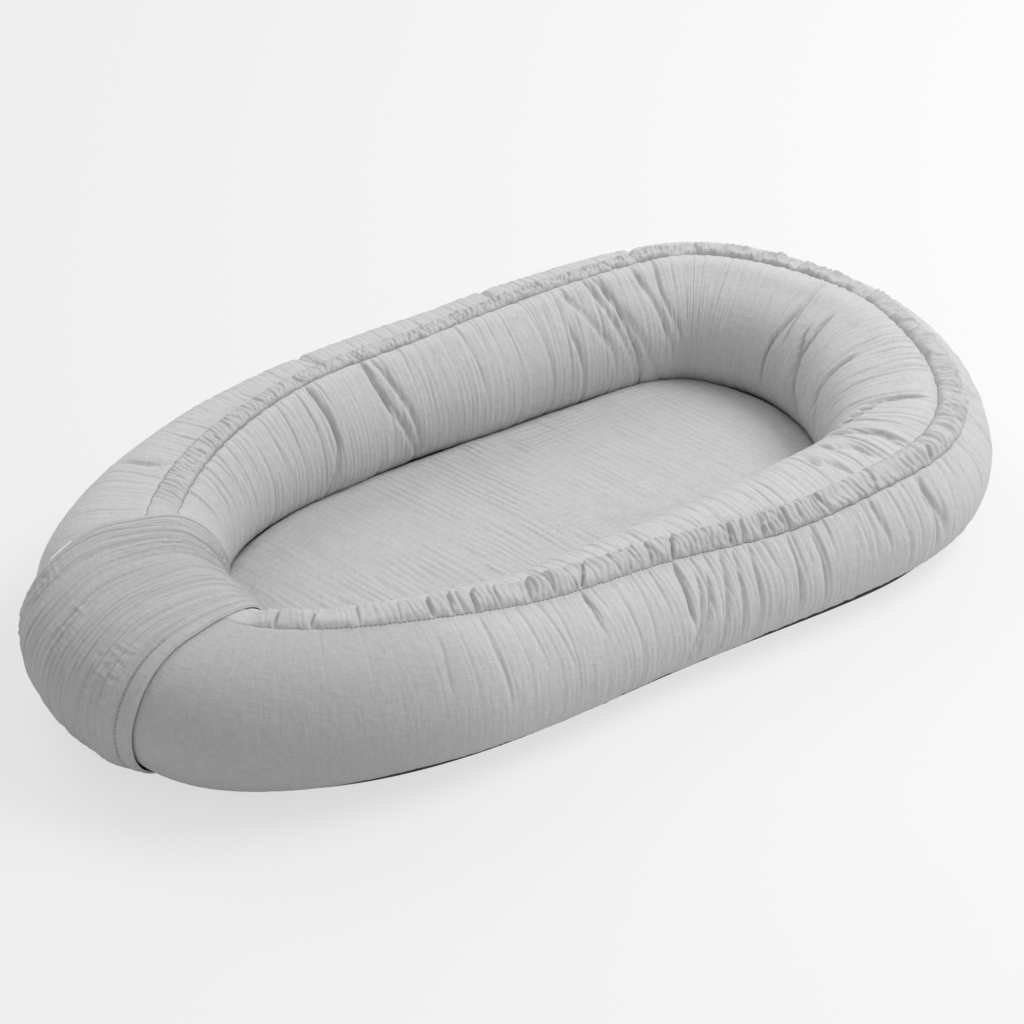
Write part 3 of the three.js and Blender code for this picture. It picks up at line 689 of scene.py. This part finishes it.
# %% [markdown]
# ## Outer and inner cover panels
# Each panel runs from its casing seam down to the base. It is a closed shell: a fine outer face,
# and a coarse lining a cloth's thickness inside it. The folds run round the section, so the grid
# is fine along the ring and coarse down the panel, and crowds towards the seam, where the cloth
# is pinned. On the far side the outer panel falls away behind the casing, and the inner one
# swells over its seam, which makes that seam a crack.

# %% Panel sizes
panel_rows = 2500
panel_columns = 30
lining_columns = 8
column_crowding = 1.5
panel_width = 1.45 * roll_height
cover_thickness = 1.2 * mm
seam_roll = 2 * mm
seam_pin = 1.5 * mm
crease_limit = 16 * mm
swell_limit = 3 * mm
pleat_limit = 4.5 * mm
# spacing, depth, width, reach, lean
pleats_from_seam = [8 * mm, 2.6 * mm, 1.1 * mm, 130 * mm, 0.1]
pleats_from_base = [10 * mm, 2.6 * mm, 1.3 * mm, 110 * mm, 0.1]
# spacing, height, fades down the panel
fine_gathers = [5.4 * mm, 1.05 * mm, 5]
broad_gathers = [12.5 * mm, 0.9 * mm, 3]
puckers = [3.3 * mm, 1.2 * mm, 8]
# shares down the panel between which the fine gathers swell, and then fade
fine_swell = [0.35, 0.65]
fine_fade = [0.72, 0.9]
# distance from the seam, width
pucker_band = [3 * mm, 7 * mm]
rim_band = [13 * mm, 9 * mm]
fall_band = [12 * mm, 16 * mm]
stuffing_height = 2.2 * mm
rim_swell = 3.5 * mm
rim_shares = [1, 1, 1, 0.8, 0.6, 0.4, 0.2, 0, 0, 0, 0, 0, 0, 0, 0.3, 0.8]
back_fall = 5 * mm
fall_shares = [0.5, 0.7, 0.9, 1, 1, 1, 0.8, 0.3, 0, 0, 0, 0, 0, 0, 0, 0.2]
least_amount = 0.08
outer_amount_shares = [0.9, 0.8, 0.8, 0.8, 0.8, 0.7, 0.6, 0.5, 0.3, 0.14, 0.2, 0.7, 1, 1, 1, 1]
inner_amount_shares = [1, 0.8, 0.75, 0.8, 0.8, 0.9, 0.9, 0.8, 0.6, 0.5, 0.6, 0.8, 0.9, 1, 1, 1]
wrap_edge_angles = np.radians([-10, 25, 50, 65, 80, 90, 105, 120, 180])
wrap_far_places = [0.471, 0.471, 0.4704, 0.466, 0.459, 0.4565, 0.45, 0.4405, 0.43]
wrap_near_places = [0.5396, 0.541, 0.5416, 0.5424, 0.5442, 0.547, 0.5515, 0.5556, 0.56]
edge_blur = math.radians(8)
calm_run = [2 * mm, 24 * mm]


# %% Panel surface
def wrap_edges(angle):
    """Places of the wrap's far and near edge, each the mean of three readings of a table."""
    turns = [angle - edge_blur, angle, angle + edge_blur]
    tables = (wrap_far_places, wrap_near_places)
    return [sum(np.interp(turn, wrap_edge_angles, places) for turn in turns) / 3 for places in tables]


def amount_of(side):
    """How strongly a side is gathered, as a function of the place."""
    shares = outer_amount_shares if side > 0 else inner_amount_shares
    return lambda place: around(shares, place, least_amount)


def panel_surface(side, place, share, inset=0.0):
    """The skin of one side, raised by its gathers and pushed in by its creases, pleats and seam.
    The cloth is calm under the wrap and pinned at the seam."""
    top = seam_angle(place, side)
    foot = -panel_edge if side > 0 else np.pi + panel_edge
    angle = top + (foot - top) * share
    distance = share * panel_width + 0 * place
    amount = amount_of(side)
    seed = 100 if side > 0 else 200
    pleats = pleat_depth(pleat_family(seed + 1, *pleats_from_seam), place, distance, amount)
    from_base = pleat_family(seed + 2, *pleats_from_base)
    pleats = pleats + pleat_depth(from_base, place, panel_width - distance, amount)
    creases = np.maximum(crease_sum(side, place, share), -swell_limit)
    push = held_to(creases, crease_limit) + held_to(pleats, pleat_limit)
    low = 1 + 0.5 * ramp(share, *fine_swell) - 0.9 * ramp(share, *fine_fade)
    folds = low * ring_gathers(seed + 10, place, share, *fine_gathers)
    folds = folds + ring_gathers(seed + 20, place, share, *broad_gathers)
    folds = folds + ring_gathers(seed + 30, place, share, *puckers) * hill(distance, *pucker_band)
    patch = 0.7 + 0.3 * soft_noise(seed + 6, place, share, 34, 3)
    stuffing = stuffing_height * soft_noise(seed + 5, place, share, 26, 2)
    if side > 0:
        stuffing = stuffing - back_fall * around(fall_shares, place, 0) * hill(distance, *fall_band)
    else:
        stuffing = stuffing + rim_swell * around(rim_shares, place, 0) * hill(distance, *rim_band)
    far, near = wrap_edges(angle)
    turn = np.mod(place, 1.0)
    calm = ramp(np.maximum(far - turn, turn - near) * ring_length, *calm_run)
    pinned = 1 - np.exp(-(distance / seam_pin) ** 1.2)
    free = (folds * amount(place) * patch + stuffing - push) * calm * pinned
    sunk = seam_depth(place, side) * np.exp(-(distance / seam_roll) ** valley_power) * calm
    return skin(place, angle, free - sunk - drawn_in(place) - inset)


# %% Panels
def cover_panel(name, side):
    """The outer face's columns, then the lining's in the other order, joined into one loop."""
    place = row_steps(roll_start, roll_end, panel_rows)
    share = column_steps(0, 1, panel_columns) ** column_crowding
    back = column_steps(1, 0, lining_columns) ** column_crowding
    layers = [panel_surface(side, place, share), panel_surface(side, place, back, cover_thickness)]
    # how flat the cloth is pulled, which the cloth material turns into painted shade
    taut_shade = np.clip(1 - 2 * amount_of(side)(place), 0, 1)
    return grid_piece(name, np.concatenate(layers, axis=1), muslin, taut_shade=taut_shade)


outer_panel = settle(cover_panel("outer_panel", 1), "root", "muslin", "bolster_outer_panel")
inner_panel = settle(cover_panel("inner_panel", -1), "root", "muslin", "bolster_inner_panel")

# %% [markdown]
# ## Filling and end panels
# The filling never shows, but it gives the roll its form, so it is there. Each end of the cover
# is closed by a round panel that bulges towards the joint under the wrap.

# %% Filling and ends
filling_rows = 700
filling_columns = 56
filling_inset = 9.5 * mm
dome_rows = 16
dome_gap = 0.4 * mm
dome_gathers = 14
dome_gather_share = 0.02


def filling():
    """A closed tube that stays under the deepest crease of each side."""
    place = row_steps(roll_start, roll_end, filling_rows)
    angle = column_steps(-np.pi / 2, 3 * np.pi / 2, filling_columns, False)
    outer = seam_angle(place, 1)
    inner = seam_angle(place, -1)
    outer_share = np.clip((outer - angle) / (outer + panel_edge), 0, 1)
    inner_share = np.clip((angle - inner) / (np.pi + panel_edge - inner), 0, 1)
    creases = [crease_sum(1, place, outer_share), crease_sum(-1, place, inner_share)]
    deepest = np.maximum(np.where(np.cos(angle) > 0, *creases), 0)
    lift = -drawn_in(place) - filling_inset - held_to(deepest, crease_limit)
    return grid_piece("filling", skin(place, angle, lift), wadding)


def end_dome(name, place, toward):
    """Rings that shrink with the cosine of a turn while they move out with its sine."""
    spin = row_steps(0, 2 * np.pi, filling_columns, False)
    rim = skin(np.array([[place]]), spin.T, -drawn_in(place))[0]
    middle = rim.mean(axis=0)
    reach = np.linalg.norm(middle[:2] - ring_frame(np.array(0.5))[0]) - dome_gap
    outward = ring_frame(np.array(place))[1]
    direction = np.array([-outward[1], outward[0], 0]) * toward
    turn = np.linspace(0, np.pi / 2, dome_rows)[:, None, None]
    gather = 1 + dome_gather_share * np.sin(dome_gathers * spin) * np.sin(2 * turn)
    ring = middle + (rim - middle)[None] * np.cos(turn) * gather
    return grid_piece(name, ring + direction * reach * np.sin(turn), muslin)


filled = settle(filling(), "root", "wadding", "bolster_filling")
near_end = settle(end_dome("end_near", roll_start, -1), "root", "muslin", "bolster_end_near")
far_end = settle(end_dome("end_far", roll_end, 1), "root", "muslin", "bolster_end_far")

# %% [markdown]
# ## Drawcord casing
# The casing is a flat tunnel of cloth between two seams. The cord has drawn it up short, so it
# stands in soft puffs between deep pleats, with small ridges across it and puckers at both seams.
# On the far side and at the head it is a ruffled rope, and the foot end hardly gathers. The deep
# pleats are a table, the small folds random.

# %% Casing sizes
casing_rows = 2700
casing_columns = 28
casing_lining = 6
casing_start = 34 * mm
casing_gap = 0.08 * mm
casing_steep = 1.3 * mm
casing_top_lift = 3 * mm
casing_floor_lift = -6.2 * mm
casing_rest = -0.6 * mm
casing_low_lift = -1.6 * mm
casing_flat_lift = 0.6 * mm
casing_puff = 10.5 * mm
least_cut = 0.2 * mm
under_wrap = [0.06, 0.074]
# spacing, height, fades across the casing
casing_ridges = [5.6 * mm, 2.6 * mm, 2]
casing_puckers = [3.3 * mm, 1 * mm, 4]
pucker_reach = 4 * mm
ridge_sink = 1.3 * mm
ruffle_height = 4 * mm
least_casing_amount = 0.1
crest_shares = [0.6, 0.4, 0.3, 0.2, 0.2, 0.3, 0.6, 1, 1, 1, 1, 1, 1, 1, 1, 0.8]
ruff_shares = [0.8, 0.8, 0.7, 0.6, 0.5, 0.4, 0.3, 0, 0, 0, 0, 0.1, 0.1, 0.1, 0.2, 0.6]
ridge_amount_shares = [1, 0.9, 1, 1, 1, 0.8, 0.8, 0.8, 0.4, 0.28, 0.45, 1, 1, 1, 1, 1]
puff_shares = [0.1, 0, 0, 0.1, 0.1, 0.15, 0.1, 0, 0, 0.6, 0.6, 1, 1, 0.9, 0.55, 0.3]
casing_pleat_depth = 8 * mm
casing_pleat_width = 1.2 * mm
casing_pleat_flanks = [1.2, 0.7]
small_pleats = [13 * mm, 3.5 * mm, 1.1 * mm, 400 * mm, 0.2]
# places at the outer and the inner seam in ten-thousandths of the ring, depth in tenths
casing_pleats = [
    [5754, 5796, 8], [5915, 5963, 10], [6120, 6135, 4], [6425, 6440, 10], [6510, 6535, 7],
    [6606, 6642, 9], [7092, 7200, 10], [7456, 7500, 7], [7560, 7625, 10], [7838, 7890, 10],
    [7896, 7950, 6], [7998, 8040, 8], [8125, 8141, 8], [8348, 8323, 9], [6850, 6900, 6],
    [8600, 8630, 8], [8890, 8930, 7], [9150, 9120, 6], [9400, 9440, 4], [9630, 9660, 4],
    [3183, 3183, 6], [2854, 2854, 6], [2465, 2445, 6], [2262, 2247, 5], [1534, 1526, 5],
]


# %% Casing
def casing_amount(place):
    """How strongly the casing is gathered at a place, read from its shares."""
    return around(ridge_amount_shares, place, least_casing_amount)


def casing_face(place, share):
    """A band that rises steeply at both seams, with puffs and ridges on it and pleats cut in it."""
    across = np.minimum(share, 1 - share) * casing_width
    amount = casing_amount(place)
    ruff = around(ruff_shares, place, 0)
    folds = ring_gathers(310, place, share, *casing_ridges)
    small = (1.8 + 1.4 * ruff) * ring_gathers(320, place, share, *casing_puckers)
    folds = folds + small * np.maximum(ruff, np.exp(-across / pucker_reach))
    folds = folds + ruffle_height * ruff * (soft_noise(330, place, share, 230, 2) - 0.1)
    puff = casing_puff * around(puff_shares, place, 0) * np.sin(np.pi * share ** 1.3) ** 0.7
    puff = puff * (0.6 + 0.4 * soft_noise(304, place, share, 60, 2))
    distance = share * casing_width + 0 * place
    cut = pleat_depth(pleat_family(301, *small_pleats), place, distance, casing_amount)
    for outer, inner, depth in casing_pleats:
        centre = (outer + (inner - outer) * share) / 10000
        gap = turn_from(place, centre) * ring_length / casing_pleat_width
        cut += casing_pleat_depth * depth / 10 * leaning_valley(gap, casing_pleat_flanks, valley_power)
    crest = casing_top_lift * around(crest_shares, place, 0)
    rise = np.maximum(crest + folds * amount + puff - ridge_sink * amount, casing_rest)
    rise = rise - held_to(cut, np.maximum(rise - casing_low_lift, least_cut))
    clear = ramp(np.abs(turn_from(place, 0.5)), *under_wrap)
    edge = -seam_depth(place, 1) * (1 - share) - seam_depth(place, -1) * share
    steep = 1 - np.exp(-(across / casing_steep) ** 1.1)
    return edge + steep * (casing_flat_lift + (rise - casing_flat_lift) * clear - edge)


def casing():
    """The face from the outer to the inner seam, then the floor back below the cord."""
    first = 0.5 + casing_start / ring_length
    place = row_steps(first, first + 1 - 2 * casing_start / ring_length, casing_rows)
    share = crowded(casing_columns, 0.09)
    margin = casing_gap / roll_half_width
    outer = seam_angle(place, 1) + margin
    inner = seam_angle(place, -1) - margin
    face = skin(place, outer + (inner - outer) * share, casing_face(place, share))
    back = column_steps(1, 0, casing_lining)
    floor = skin(place, outer + (inner - outer) * back, casing_floor_lift)
    # the whole casing carries a fixed share of the cloth's painted shade
    return grid_piece("casing", np.concatenate([face, floor], axis=1), muslin, taut_shade=0.3)


gathered = settle(casing(), "root", "muslin", "drawstring_casing")

# %% [markdown]
# ## Stitches
# Both casing seams are sewn with a straight stitch, which reads as a row of small dark dots.
# Every stitch is a short bar of thread across the seam's crack, and all their corners are worked
# out at once on the cloth's own skin.

# %% Stitches
stitch_spacing = 3.8 * mm
stitch_length = 1.5 * mm
stitch_width = 0.8 * mm
stitch_lifts = [-0.8 * mm, 0.3 * mm]
hidden_seam = [0.93, 1.37]
halves = np.array([-0.5, 0.5])


def bars(name, corners, thread):
    """A mesh of separate bars from an array of their eight corners: end, side, then low or high."""
    quads = np.array([[0, 1, 3, 2], [4, 6, 7, 5], [0, 4, 5, 1], [2, 3, 7, 6], [0, 2, 6, 4], [1, 5, 7, 3]])
    faces = (np.arange(len(corners))[:, None, None] * 8 + quads[None]).reshape(-1, 4)
    points = corners.reshape(-1, 3)
    if signed_volume(points, faces) < 0:
        faces = faces[:, ::-1]
    mesh = bpy.data.meshes.new(name)
    mesh.from_pydata(points.tolist(), [], faces.tolist())
    mesh.uv_layers.new(name="cloth")
    mesh.materials.append(thread)
    print(name, len(corners), "stitches")
    return add_object(name, mesh)


def stitch_corners(run, length, sides, lifts):
    """Where the corners of all stitches lie: along their run, to their sides and off the skin."""
    ends, sides, lifts = np.meshgrid(length * halves, sides, lifts, indexing="ij")
    return run[:, None, None, None] + ends, sides, lifts


def seam_stitches():
    """One bar for each stitch length of both seams, from where the casing starts to where it ends."""
    first = 0.5 + casing_start / ring_length + 0.01
    place = np.arange(first, first + 0.98 - 2 * casing_start / ring_length, stitch_spacing / ring_length)
    seen = place[(place < hidden_seam[0]) | (place > hidden_seam[1])]
    rows = []
    for side, row in ((1, seen), (-1, place)):
        across = halves * stitch_width / roll_half_width
        ends, sides, lift = stitch_corners(row, stitch_length / ring_length, across, stitch_lifts)
        rows.append(skin(ends, seam_angle(ends, side) + sides, lift - seam_depth(ends, side)))
    return bars("seam_stitches", np.concatenate(rows), seam_thread)


stitches = settle(seam_stitches(), "root", "muslin")

# %% [markdown]
# ## Drawcord
# The cord runs through the whole casing and its two ends meet in the lock, so it is held all the
# way and never hangs free. Its solid has the right route, so only a braid is added.

# %% Drawcord
finish_solid("drawcord", cord_braid, "cord")

# %% [markdown]
# ## Wrap over the joint
# The wrap is a band of doubled cloth with a hem along both edges. It could be a bent plane with
# thickness, but its hems stand proud, so it is one loop of points for each row: over the face,
# round a hem, and back underneath. Its ripples run along it and end at a plain hem. The inner end
# is loose and folds back.

# %% Wrap sizes
wrap_under_angle = math.radians(-64)
wrap_end_angle = math.radians(193)
wrap_clearance = 3.5 * mm
wrap_edge_clearance = 0.9 * mm
wrap_edge_run = 2 * mm
wrap_settle = 9 * mm
wrap_thickness = 1.8 * mm
wrap_rows = 260
wrap_columns = 300
wrap_back_columns = 40
hem_width = 9 * mm
hem_rise = 0.7 * mm
hem_round = 2.4 * mm
hem_groove = 1.3 * mm
hem_groove_width = 1.2 * mm
body_run = 8 * mm
wrap_ridge = 2.7 * mm
wrap_belly = 8 * mm
wrap_swell = 1.2 * mm
wrap_cross = 1.7 * mm
wrap_ridges = 30
wrap_fine_ridges = 46
wrap_folds = 34
# start, reach, depth in mm, width, lean
fold_low = [0, 0.15, 0.3, 0.004, -0.05]
fold_high = [0.85, 0.55, 1.6, 0.011, 0.05]
fold_limit = 2 * mm
# the shares down the band and the angles between which its relief ends
plain_end = [0.93, 0.985]
plain_under = [-1.1, -0.7]
hem_stitch_drops = np.array([2.6 * mm, 0.85 * mm])
hem_stitch_angles = np.radians([-48, 75])


# %% Wrap surface
def wrap_place(share, angle):
    """A place between the band's far edge, 0, and its near edge, 1."""
    far, near = wrap_edges(angle)
    return far + (near - far) * share


def wrap_lift(share, angle):
    """Distance to the nearer edge, and how far the band's underside stands off the skin there: less
    along its edges, where it rests."""
    far, near = wrap_edges(angle)
    edge = np.minimum(share, 1 - share) * (near - far) * ring_length
    rise = ramp(edge, wrap_edge_run, wrap_edge_run + wrap_settle)
    return edge, wrap_edge_clearance + (wrap_clearance - wrap_edge_clearance) * rise


def wrap_folds_sum(share, down):
    """Sharp folds at random shares of the width, each over a part of the band's length."""
    random = np.random.default_rng(401)
    total = np.zeros(np.broadcast(down, share).shape)
    for centre in random.uniform(0.08, 0.92, wrap_folds):
        start, reach, depth, width, lean = random.uniform(fold_low, fold_high)
        gap = np.abs(share - centre - lean * down) / width
        span = ramp(down, start - 0.1, start + 0.1) * (1 - ramp(down, start + reach, start + reach + 0.2))
        total += depth * mm * np.exp(-gap ** valley_power) * span
    return np.minimum(total, fold_limit)


def wrap():
    """The face is the underside's lift, the cloth, a hem along each edge and the relief between."""
    down = row_steps(0, 1, wrap_rows)
    angle = wrap_under_angle + (wrap_end_angle - wrap_under_angle) * down
    share = crowded(wrap_columns, 0.08)
    # the noise repeats at 1, which the band must not reach
    across = share * 0.999
    edge, rest = wrap_lift(share, angle)
    hem = hem_rise * ramp(edge, 0, wrap_edge_run) * (1 - ramp(edge, hem_width - wrap_edge_run, hem_width))
    hem = hem - hem_groove * hill(edge, hem_width, hem_groove_width)
    ridge = wrap_ridge * (0.75 + 0.35 * ramp(angle, 0.2, 1.2))
    relief = ridge * gathers(410, across, down, wrap_ridges, 6)
    relief = relief + 0.6 * ridge * gathers(420, across, down, wrap_fine_ridges, 9)
    relief = relief + wrap_swell * soft_noise(403, across, down, 5, 7)
    relief = relief + wrap_belly * hill(angle, 0.35, 0.75) * np.sin(np.pi * share)
    patch = ramp(soft_noise(405, across, down, 6, 7), 0, 0.7)
    relief = relief + wrap_cross * np.abs(soft_noise(404, across, down, 16, 90)) * patch
    body = ramp(edge, hem_width, hem_width + body_run)
    body = body * (1 - ramp(down, *plain_end)) * ramp(angle, *plain_under)
    lift = rest + wrap_thickness + hem + body * (relief - 0.6 * wrap_folds_sum(share, down))
    rim = np.maximum(1 - ramp(edge, 0, hem_round), ramp(down, plain_end[1], 1))
    face = skin(wrap_place(share, angle), angle, lift - 0.75 * wrap_thickness * rim)
    back_share = column_steps(1, 0, wrap_back_columns)
    back = skin(wrap_place(back_share, angle), angle, wrap_lift(back_share, angle)[1])
    # the whole wrap carries a fixed share of the cloth's painted shade
    return grid_piece("wrap", np.concatenate([face, back], axis=1), muslin, taut_shade=0.6)


def hem_stitches():
    """A row of stitches in the groove beside the near hem, on the outer side of the roll."""
    angle = np.arange(*hem_stitch_angles, stitch_spacing / roll_half_width)
    across = (halves * stitch_width - hem_width) / ring_length
    lifts = wrap_clearance + wrap_thickness - hem_stitch_drops
    ends, sides, lift = stitch_corners(angle, stitch_length / roll_half_width, across, lifts)
    return bars("hem_stitches", skin(wrap_edges(ends)[1] + sides, ends, lift), hem_thread)


# %% Wrap
wrapped = wrap()
hem_sewn = hem_stitches()
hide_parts("foot_wrap", "foot_wrap_end")
for piece in (wrapped, hem_sewn):
    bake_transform(piece)

# %% [markdown]
# ## Label
# A short white tape, left blank, is caught under the wrap's far edge. It could be a thin box, but
# it has to lie on the roll's curve, so it is a small grid on the same skin.

# %% Label
label_shares = [0.26, 0.35]
label_out = 3.6 * mm
label_under = 3 * mm
label_lift = 0.6 * mm
label_thickness = 0.6 * mm
label_wave = 0.15 * mm
label_waves = 9
label_grid = [40, 16]


def label():
    """A strip between two angles that runs out from under the wrap's edge."""
    angle = row_steps(label_shares[0] * np.pi, label_shares[1] * np.pi, label_grid[0])
    run = column_steps(-label_out, label_under, label_grid[1])
    place = wrap_place(0, angle) + run / ring_length
    lift = label_lift + label_wave * np.sin(label_waves * angle)
    face = skin(place, angle, lift + label_thickness)
    back = skin(place, angle, lift)[:, ::-1]
    return grid_piece("label", np.concatenate([face, back], axis=1), tape)


blank = settle(label(), "root", "tape", "side_label")

# %% [markdown]
# ## Mattress
# The mattress is a foam pad in a loose muslin cover. Its top crinkles in ripples across the pad,
# crossed by fainter ones, and its rounded edge reaches a little way under the roll. The grid is a
# square pressed into the outline, so it has no crowded point in the middle, as a wheel of spokes
# would.

# %% Mattress sizes
rim_reach_share = 0.66
rim_clearance = 3 * mm
rim_points = 2000
mattress_side_height = 23 * mm
mattress_crown = 6 * mm
mattress_edge = 34 * mm
edge_power = 2.4
seat_gap = 0.3 * mm
foam_inset = 2.2 * mm
mattress_grid = [470, 205]
foam_grid = [160, 80]
pad_span = 0.75
pad_tilt = 0.3
# spacing, height
ripples_across = [7.4 * mm, 1.7 * mm]
ripples_along = [6.4 * mm, 1.5 * mm]
pad_unevenness = 1.2 * mm
weld_distance = 0.05 * mm


# %% Mattress surface
def outline_radius(angle, inset):
    """Distance from the middle to the rim in each direction. The rim is a line a little way under
    the roll's overhang, drawn in by inset."""
    place = np.linspace(0, 1, rim_points, endpoint=False)
    middle, outward = ring_frame(place)
    rim = middle - outward * (half_width(place) * rim_reach_share + rim_clearance + inset)[..., None]
    turn = np.arctan2(rim[:, 1], rim[:, 0])
    order = np.argsort(turn)
    return np.interp(angle, turn[order], np.linalg.norm(rim, axis=1)[order], period=2 * np.pi)


def crinkles(seed, across, along, spacing, height):
    """Narrow ridges that wander, and that come and go on their way along."""
    bent = across + 0.005 * soft_noise(seed, across, along, 24, 5)
    bent = bent + 0.0025 * soft_noise(seed + 1, across, along, 70, 16)
    swell = 0.55 + 0.45 * soft_noise(seed + 2, across, along, 90, 26)
    return height * ridge_row(bent * pad_span / spacing) * swell


def pad_layer(inset, upward, crinkle, grid):
    """A square grid pressed into a disc, whose share from middle to rim sets the height."""
    a = row_steps(-1, 1, grid[0])
    b = column_steps(-1, 1, grid[1])
    x = a * np.sqrt(1 - b ** 2 / 2)
    y = b * np.sqrt(1 - a ** 2 / 2)
    share = np.minimum(1, np.hypot(x, y))
    turn = np.arctan2(y, x)
    reach = outline_radius(turn, inset)
    flat = np.stack([reach * share * np.cos(turn), reach * share * np.sin(turn)], -1)
    floor = base_thickness + seat_gap + inset
    shoulder = base_thickness + seat_gap + mattress_side_height - inset
    middle = (floor + shoulder) / 2
    edge = np.clip((1 - share) * reach / mattress_edge, 0, 1)
    drop = 1 - (1 - edge) ** edge_power
    height = middle + ((shoulder if upward else floor) - middle) * drop
    if upward:
        height = height + mattress_crown * (1 - share ** 2)
    if crinkle:
        u = (flat[..., 0] + pad_tilt * flat[..., 1]) / pad_span + 0.5
        v = flat[..., 1] / pad_span + 0.5
        ripple = crinkles(501, u, v, *ripples_across)
        patch = ramp(soft_noise(526, u, v, 9, 11), -0.6, 0.8)
        ripple = ripple + crinkles(511, v, u, *ripples_along) * patch
        ripple = ripple + pad_unevenness * soft_noise(503, u, v, 12, 9)
        height = height + ripple * ramp(edge, 0.1, 0.5)
    return np.concatenate([flat, height[..., None]], -1)


# %% Mattress
def pad(name, inset, material, crinkle, grid):
    """Top and underside meet on the rim: the underside's rim points are welded to the top's."""
    sheets = []
    for upward in (True, False):
        layer = pad_layer(inset, upward, crinkle and upward, grid)
        piece = grid_piece(name, layer, material, closed=False, caps=False)
        normals = np.zeros(len(piece.data.polygons) * 3, np.float32)
        piece.data.polygons.foreach_get("normal", normals)
        if (normals[2::3].mean() > 0) != upward:
            piece.data.flip_normals()
        sheets.append(piece)
    with bpy.context.temp_override(active_object=sheets[0], selected_editable_objects=sheets):
        bpy.ops.object.join()
    work = bmesh.new()
    work.from_mesh(sheets[0].data)
    bmesh.ops.remove_doubles(work, verts=work.verts, dist=weld_distance)
    work.to_mesh(sheets[0].data)
    work.free()
    return sheets[0]


mattress = pad("mattress", 0, muslin_top, True, mattress_grid)
settle(mattress, "mattress", "muslin_top", "mattress_cover")
core = pad("mattress_foam", foam_inset, foam, False, foam_grid)
settle(core, "mattress", "foam", "mattress_core")

# %% [markdown]
# ## Base panel
# The base is a thin quilted panel that the roll is sewn to. Only its edge shows, where the
# roll curves up off the floor. It is coloured darker than its fabric and reaches out to the line
# where the roll's contact shadow falls, so that dark edge is partly the base and partly painted shade.

# %% Base
# how far the dark base reaches out, set to the width of the contact shadow's line: partly painted shade
base_reach_shares = [0.55, 0.5, 0.5, 0.5, 0.32, 0.5, 0.56, 0.6]
base_columns = 900
base_rings = 22
base_first_ring = 0.02


def base():
    """Rings from the middle out to where the roll meets the floor, over the top and back below."""
    place = row_steps(0, 1, base_columns, False)
    middle, outward = ring_frame(place)
    rim = middle + outward * (half_width(place) * around(base_reach_shares, place))[..., None]
    out = np.linspace(base_first_ring, 1, base_rings)
    share = np.concatenate([out, out[::-1]])[None, :]
    level = np.repeat([base_thickness, 0], base_rings)[None, :] + 0 * place
    grid = np.concatenate([rim * share[..., None], level[..., None]], -1).transpose(1, 0, 2)
    return grid_piece("base", grid, backing)


bottom = settle(base(), "root", "backing", "base_panel")

# %% [markdown]
# ## Stage
# The key lamp stands near, to the right and above, and the other one behind, stronger but so much
# further away that it gives less. An even sky fills in what faces the front left. Light adds up,
# so the powers of the lamps and the sky were found as weights of their shares. To the camera the
# floor is partly bright of itself, a little more to the right, which keeps it nearly white without
# more light on the cloth. To the cloth it is a plain grey floor.

# %% Stage sizes
floor_half = 6
floor_seen = 0.8
floor_plain = 0.78
floor_glow_left = 0.86
floor_glow_right = 0.96
floor_glow_half = 0.6
glow_share = 0.73
# place, power in watts, size
key_lamp = ((1.6, -0.6, 2.25), 47, 1.4)
back_lamp = ((-0.2, 3.8, 3.2), 62, 2.6)
sky_strength = 0.54


# %% Floor
def make_floor():
    """A flat square under the object. Seen directly it mixes a plain glow with its matt finish."""
    material, tree, shader = new_material("floor", {"Roughness": 0.9, "Specular IOR Level": 0.1})
    right = (math.cos(view_turn), math.sin(view_turn), 0)
    where = step(tree, "TexCoord", {})
    across = step(tree, "VectorMath", {0: where["Object"], 1: right}, "DOT_PRODUCT")
    tone = step(tree, "MapRange", {
        "Value": across["Value"], "From Min": -floor_glow_half, "From Max": floor_glow_half,
        "To Min": floor_glow_left, "To Max": floor_glow_right,
    })
    glow = step(tree, "Emission", {"Color": tone[0]})
    path = step(tree, "LightPath", {})
    seen = path["Is Camera Ray"]
    for name in ("Is Glossy Ray", "Is Transmission Ray"):
        seen = step(tree, "Math", {0: seen, 1: path[name]}, "MAXIMUM")[0]
    colour = step(tree, "MapRange", {"Value": seen, "To Min": floor_plain, "To Max": floor_seen})
    share = step(tree, "Math", {0: seen, 1: glow_share}, "MULTIPLY")
    join(tree, shader, {"Base Color": colour[0]})
    mix = step(tree, "MixShader", {"Fac": share[0], 1: shader.outputs[0], 2: glow[0]})
    join(tree, tree.nodes["Material Output"], {"Surface": mix[0]})
    corners = floor_half * np.array([[-1, -1, 0], [1, -1, 0], [1, 1, 0], [-1, 1, 0]])
    mesh = bpy.data.meshes.new("floor")
    mesh.from_pydata(corners.tolist(), [], [(0, 1, 2, 3)])
    mesh.materials.append(material)
    add_object("floor", mesh)
    print("floor", 2 * floor_half, "m wide")


make_floor()


# %% Lamps and sky
def make_lamp(name, place, power, size):
    """A square lamp that looks at the middle of the object."""
    data = bpy.data.lights.new(name, "AREA")
    data.energy = power
    data.size = size
    lamp = add_object(name, data)
    lamp.location = place
    look_along(lamp, -Vector(place))


make_lamp("key", *key_lamp)
make_lamp("back", *back_lamp)
sky = bpy.data.worlds.new("sky")
sky.use_nodes = True
join(sky.node_tree, sky.node_tree.nodes["Background"], {"Color": (1, 1, 1, 1), "Strength": sky_strength})
bpy.context.scene.world = sky
print("lamps of", key_lamp[1], "and", back_lamp[1], "W, sky of", sky_strength)
bpy.context.scene.view_settings.view_transform = "Standard"
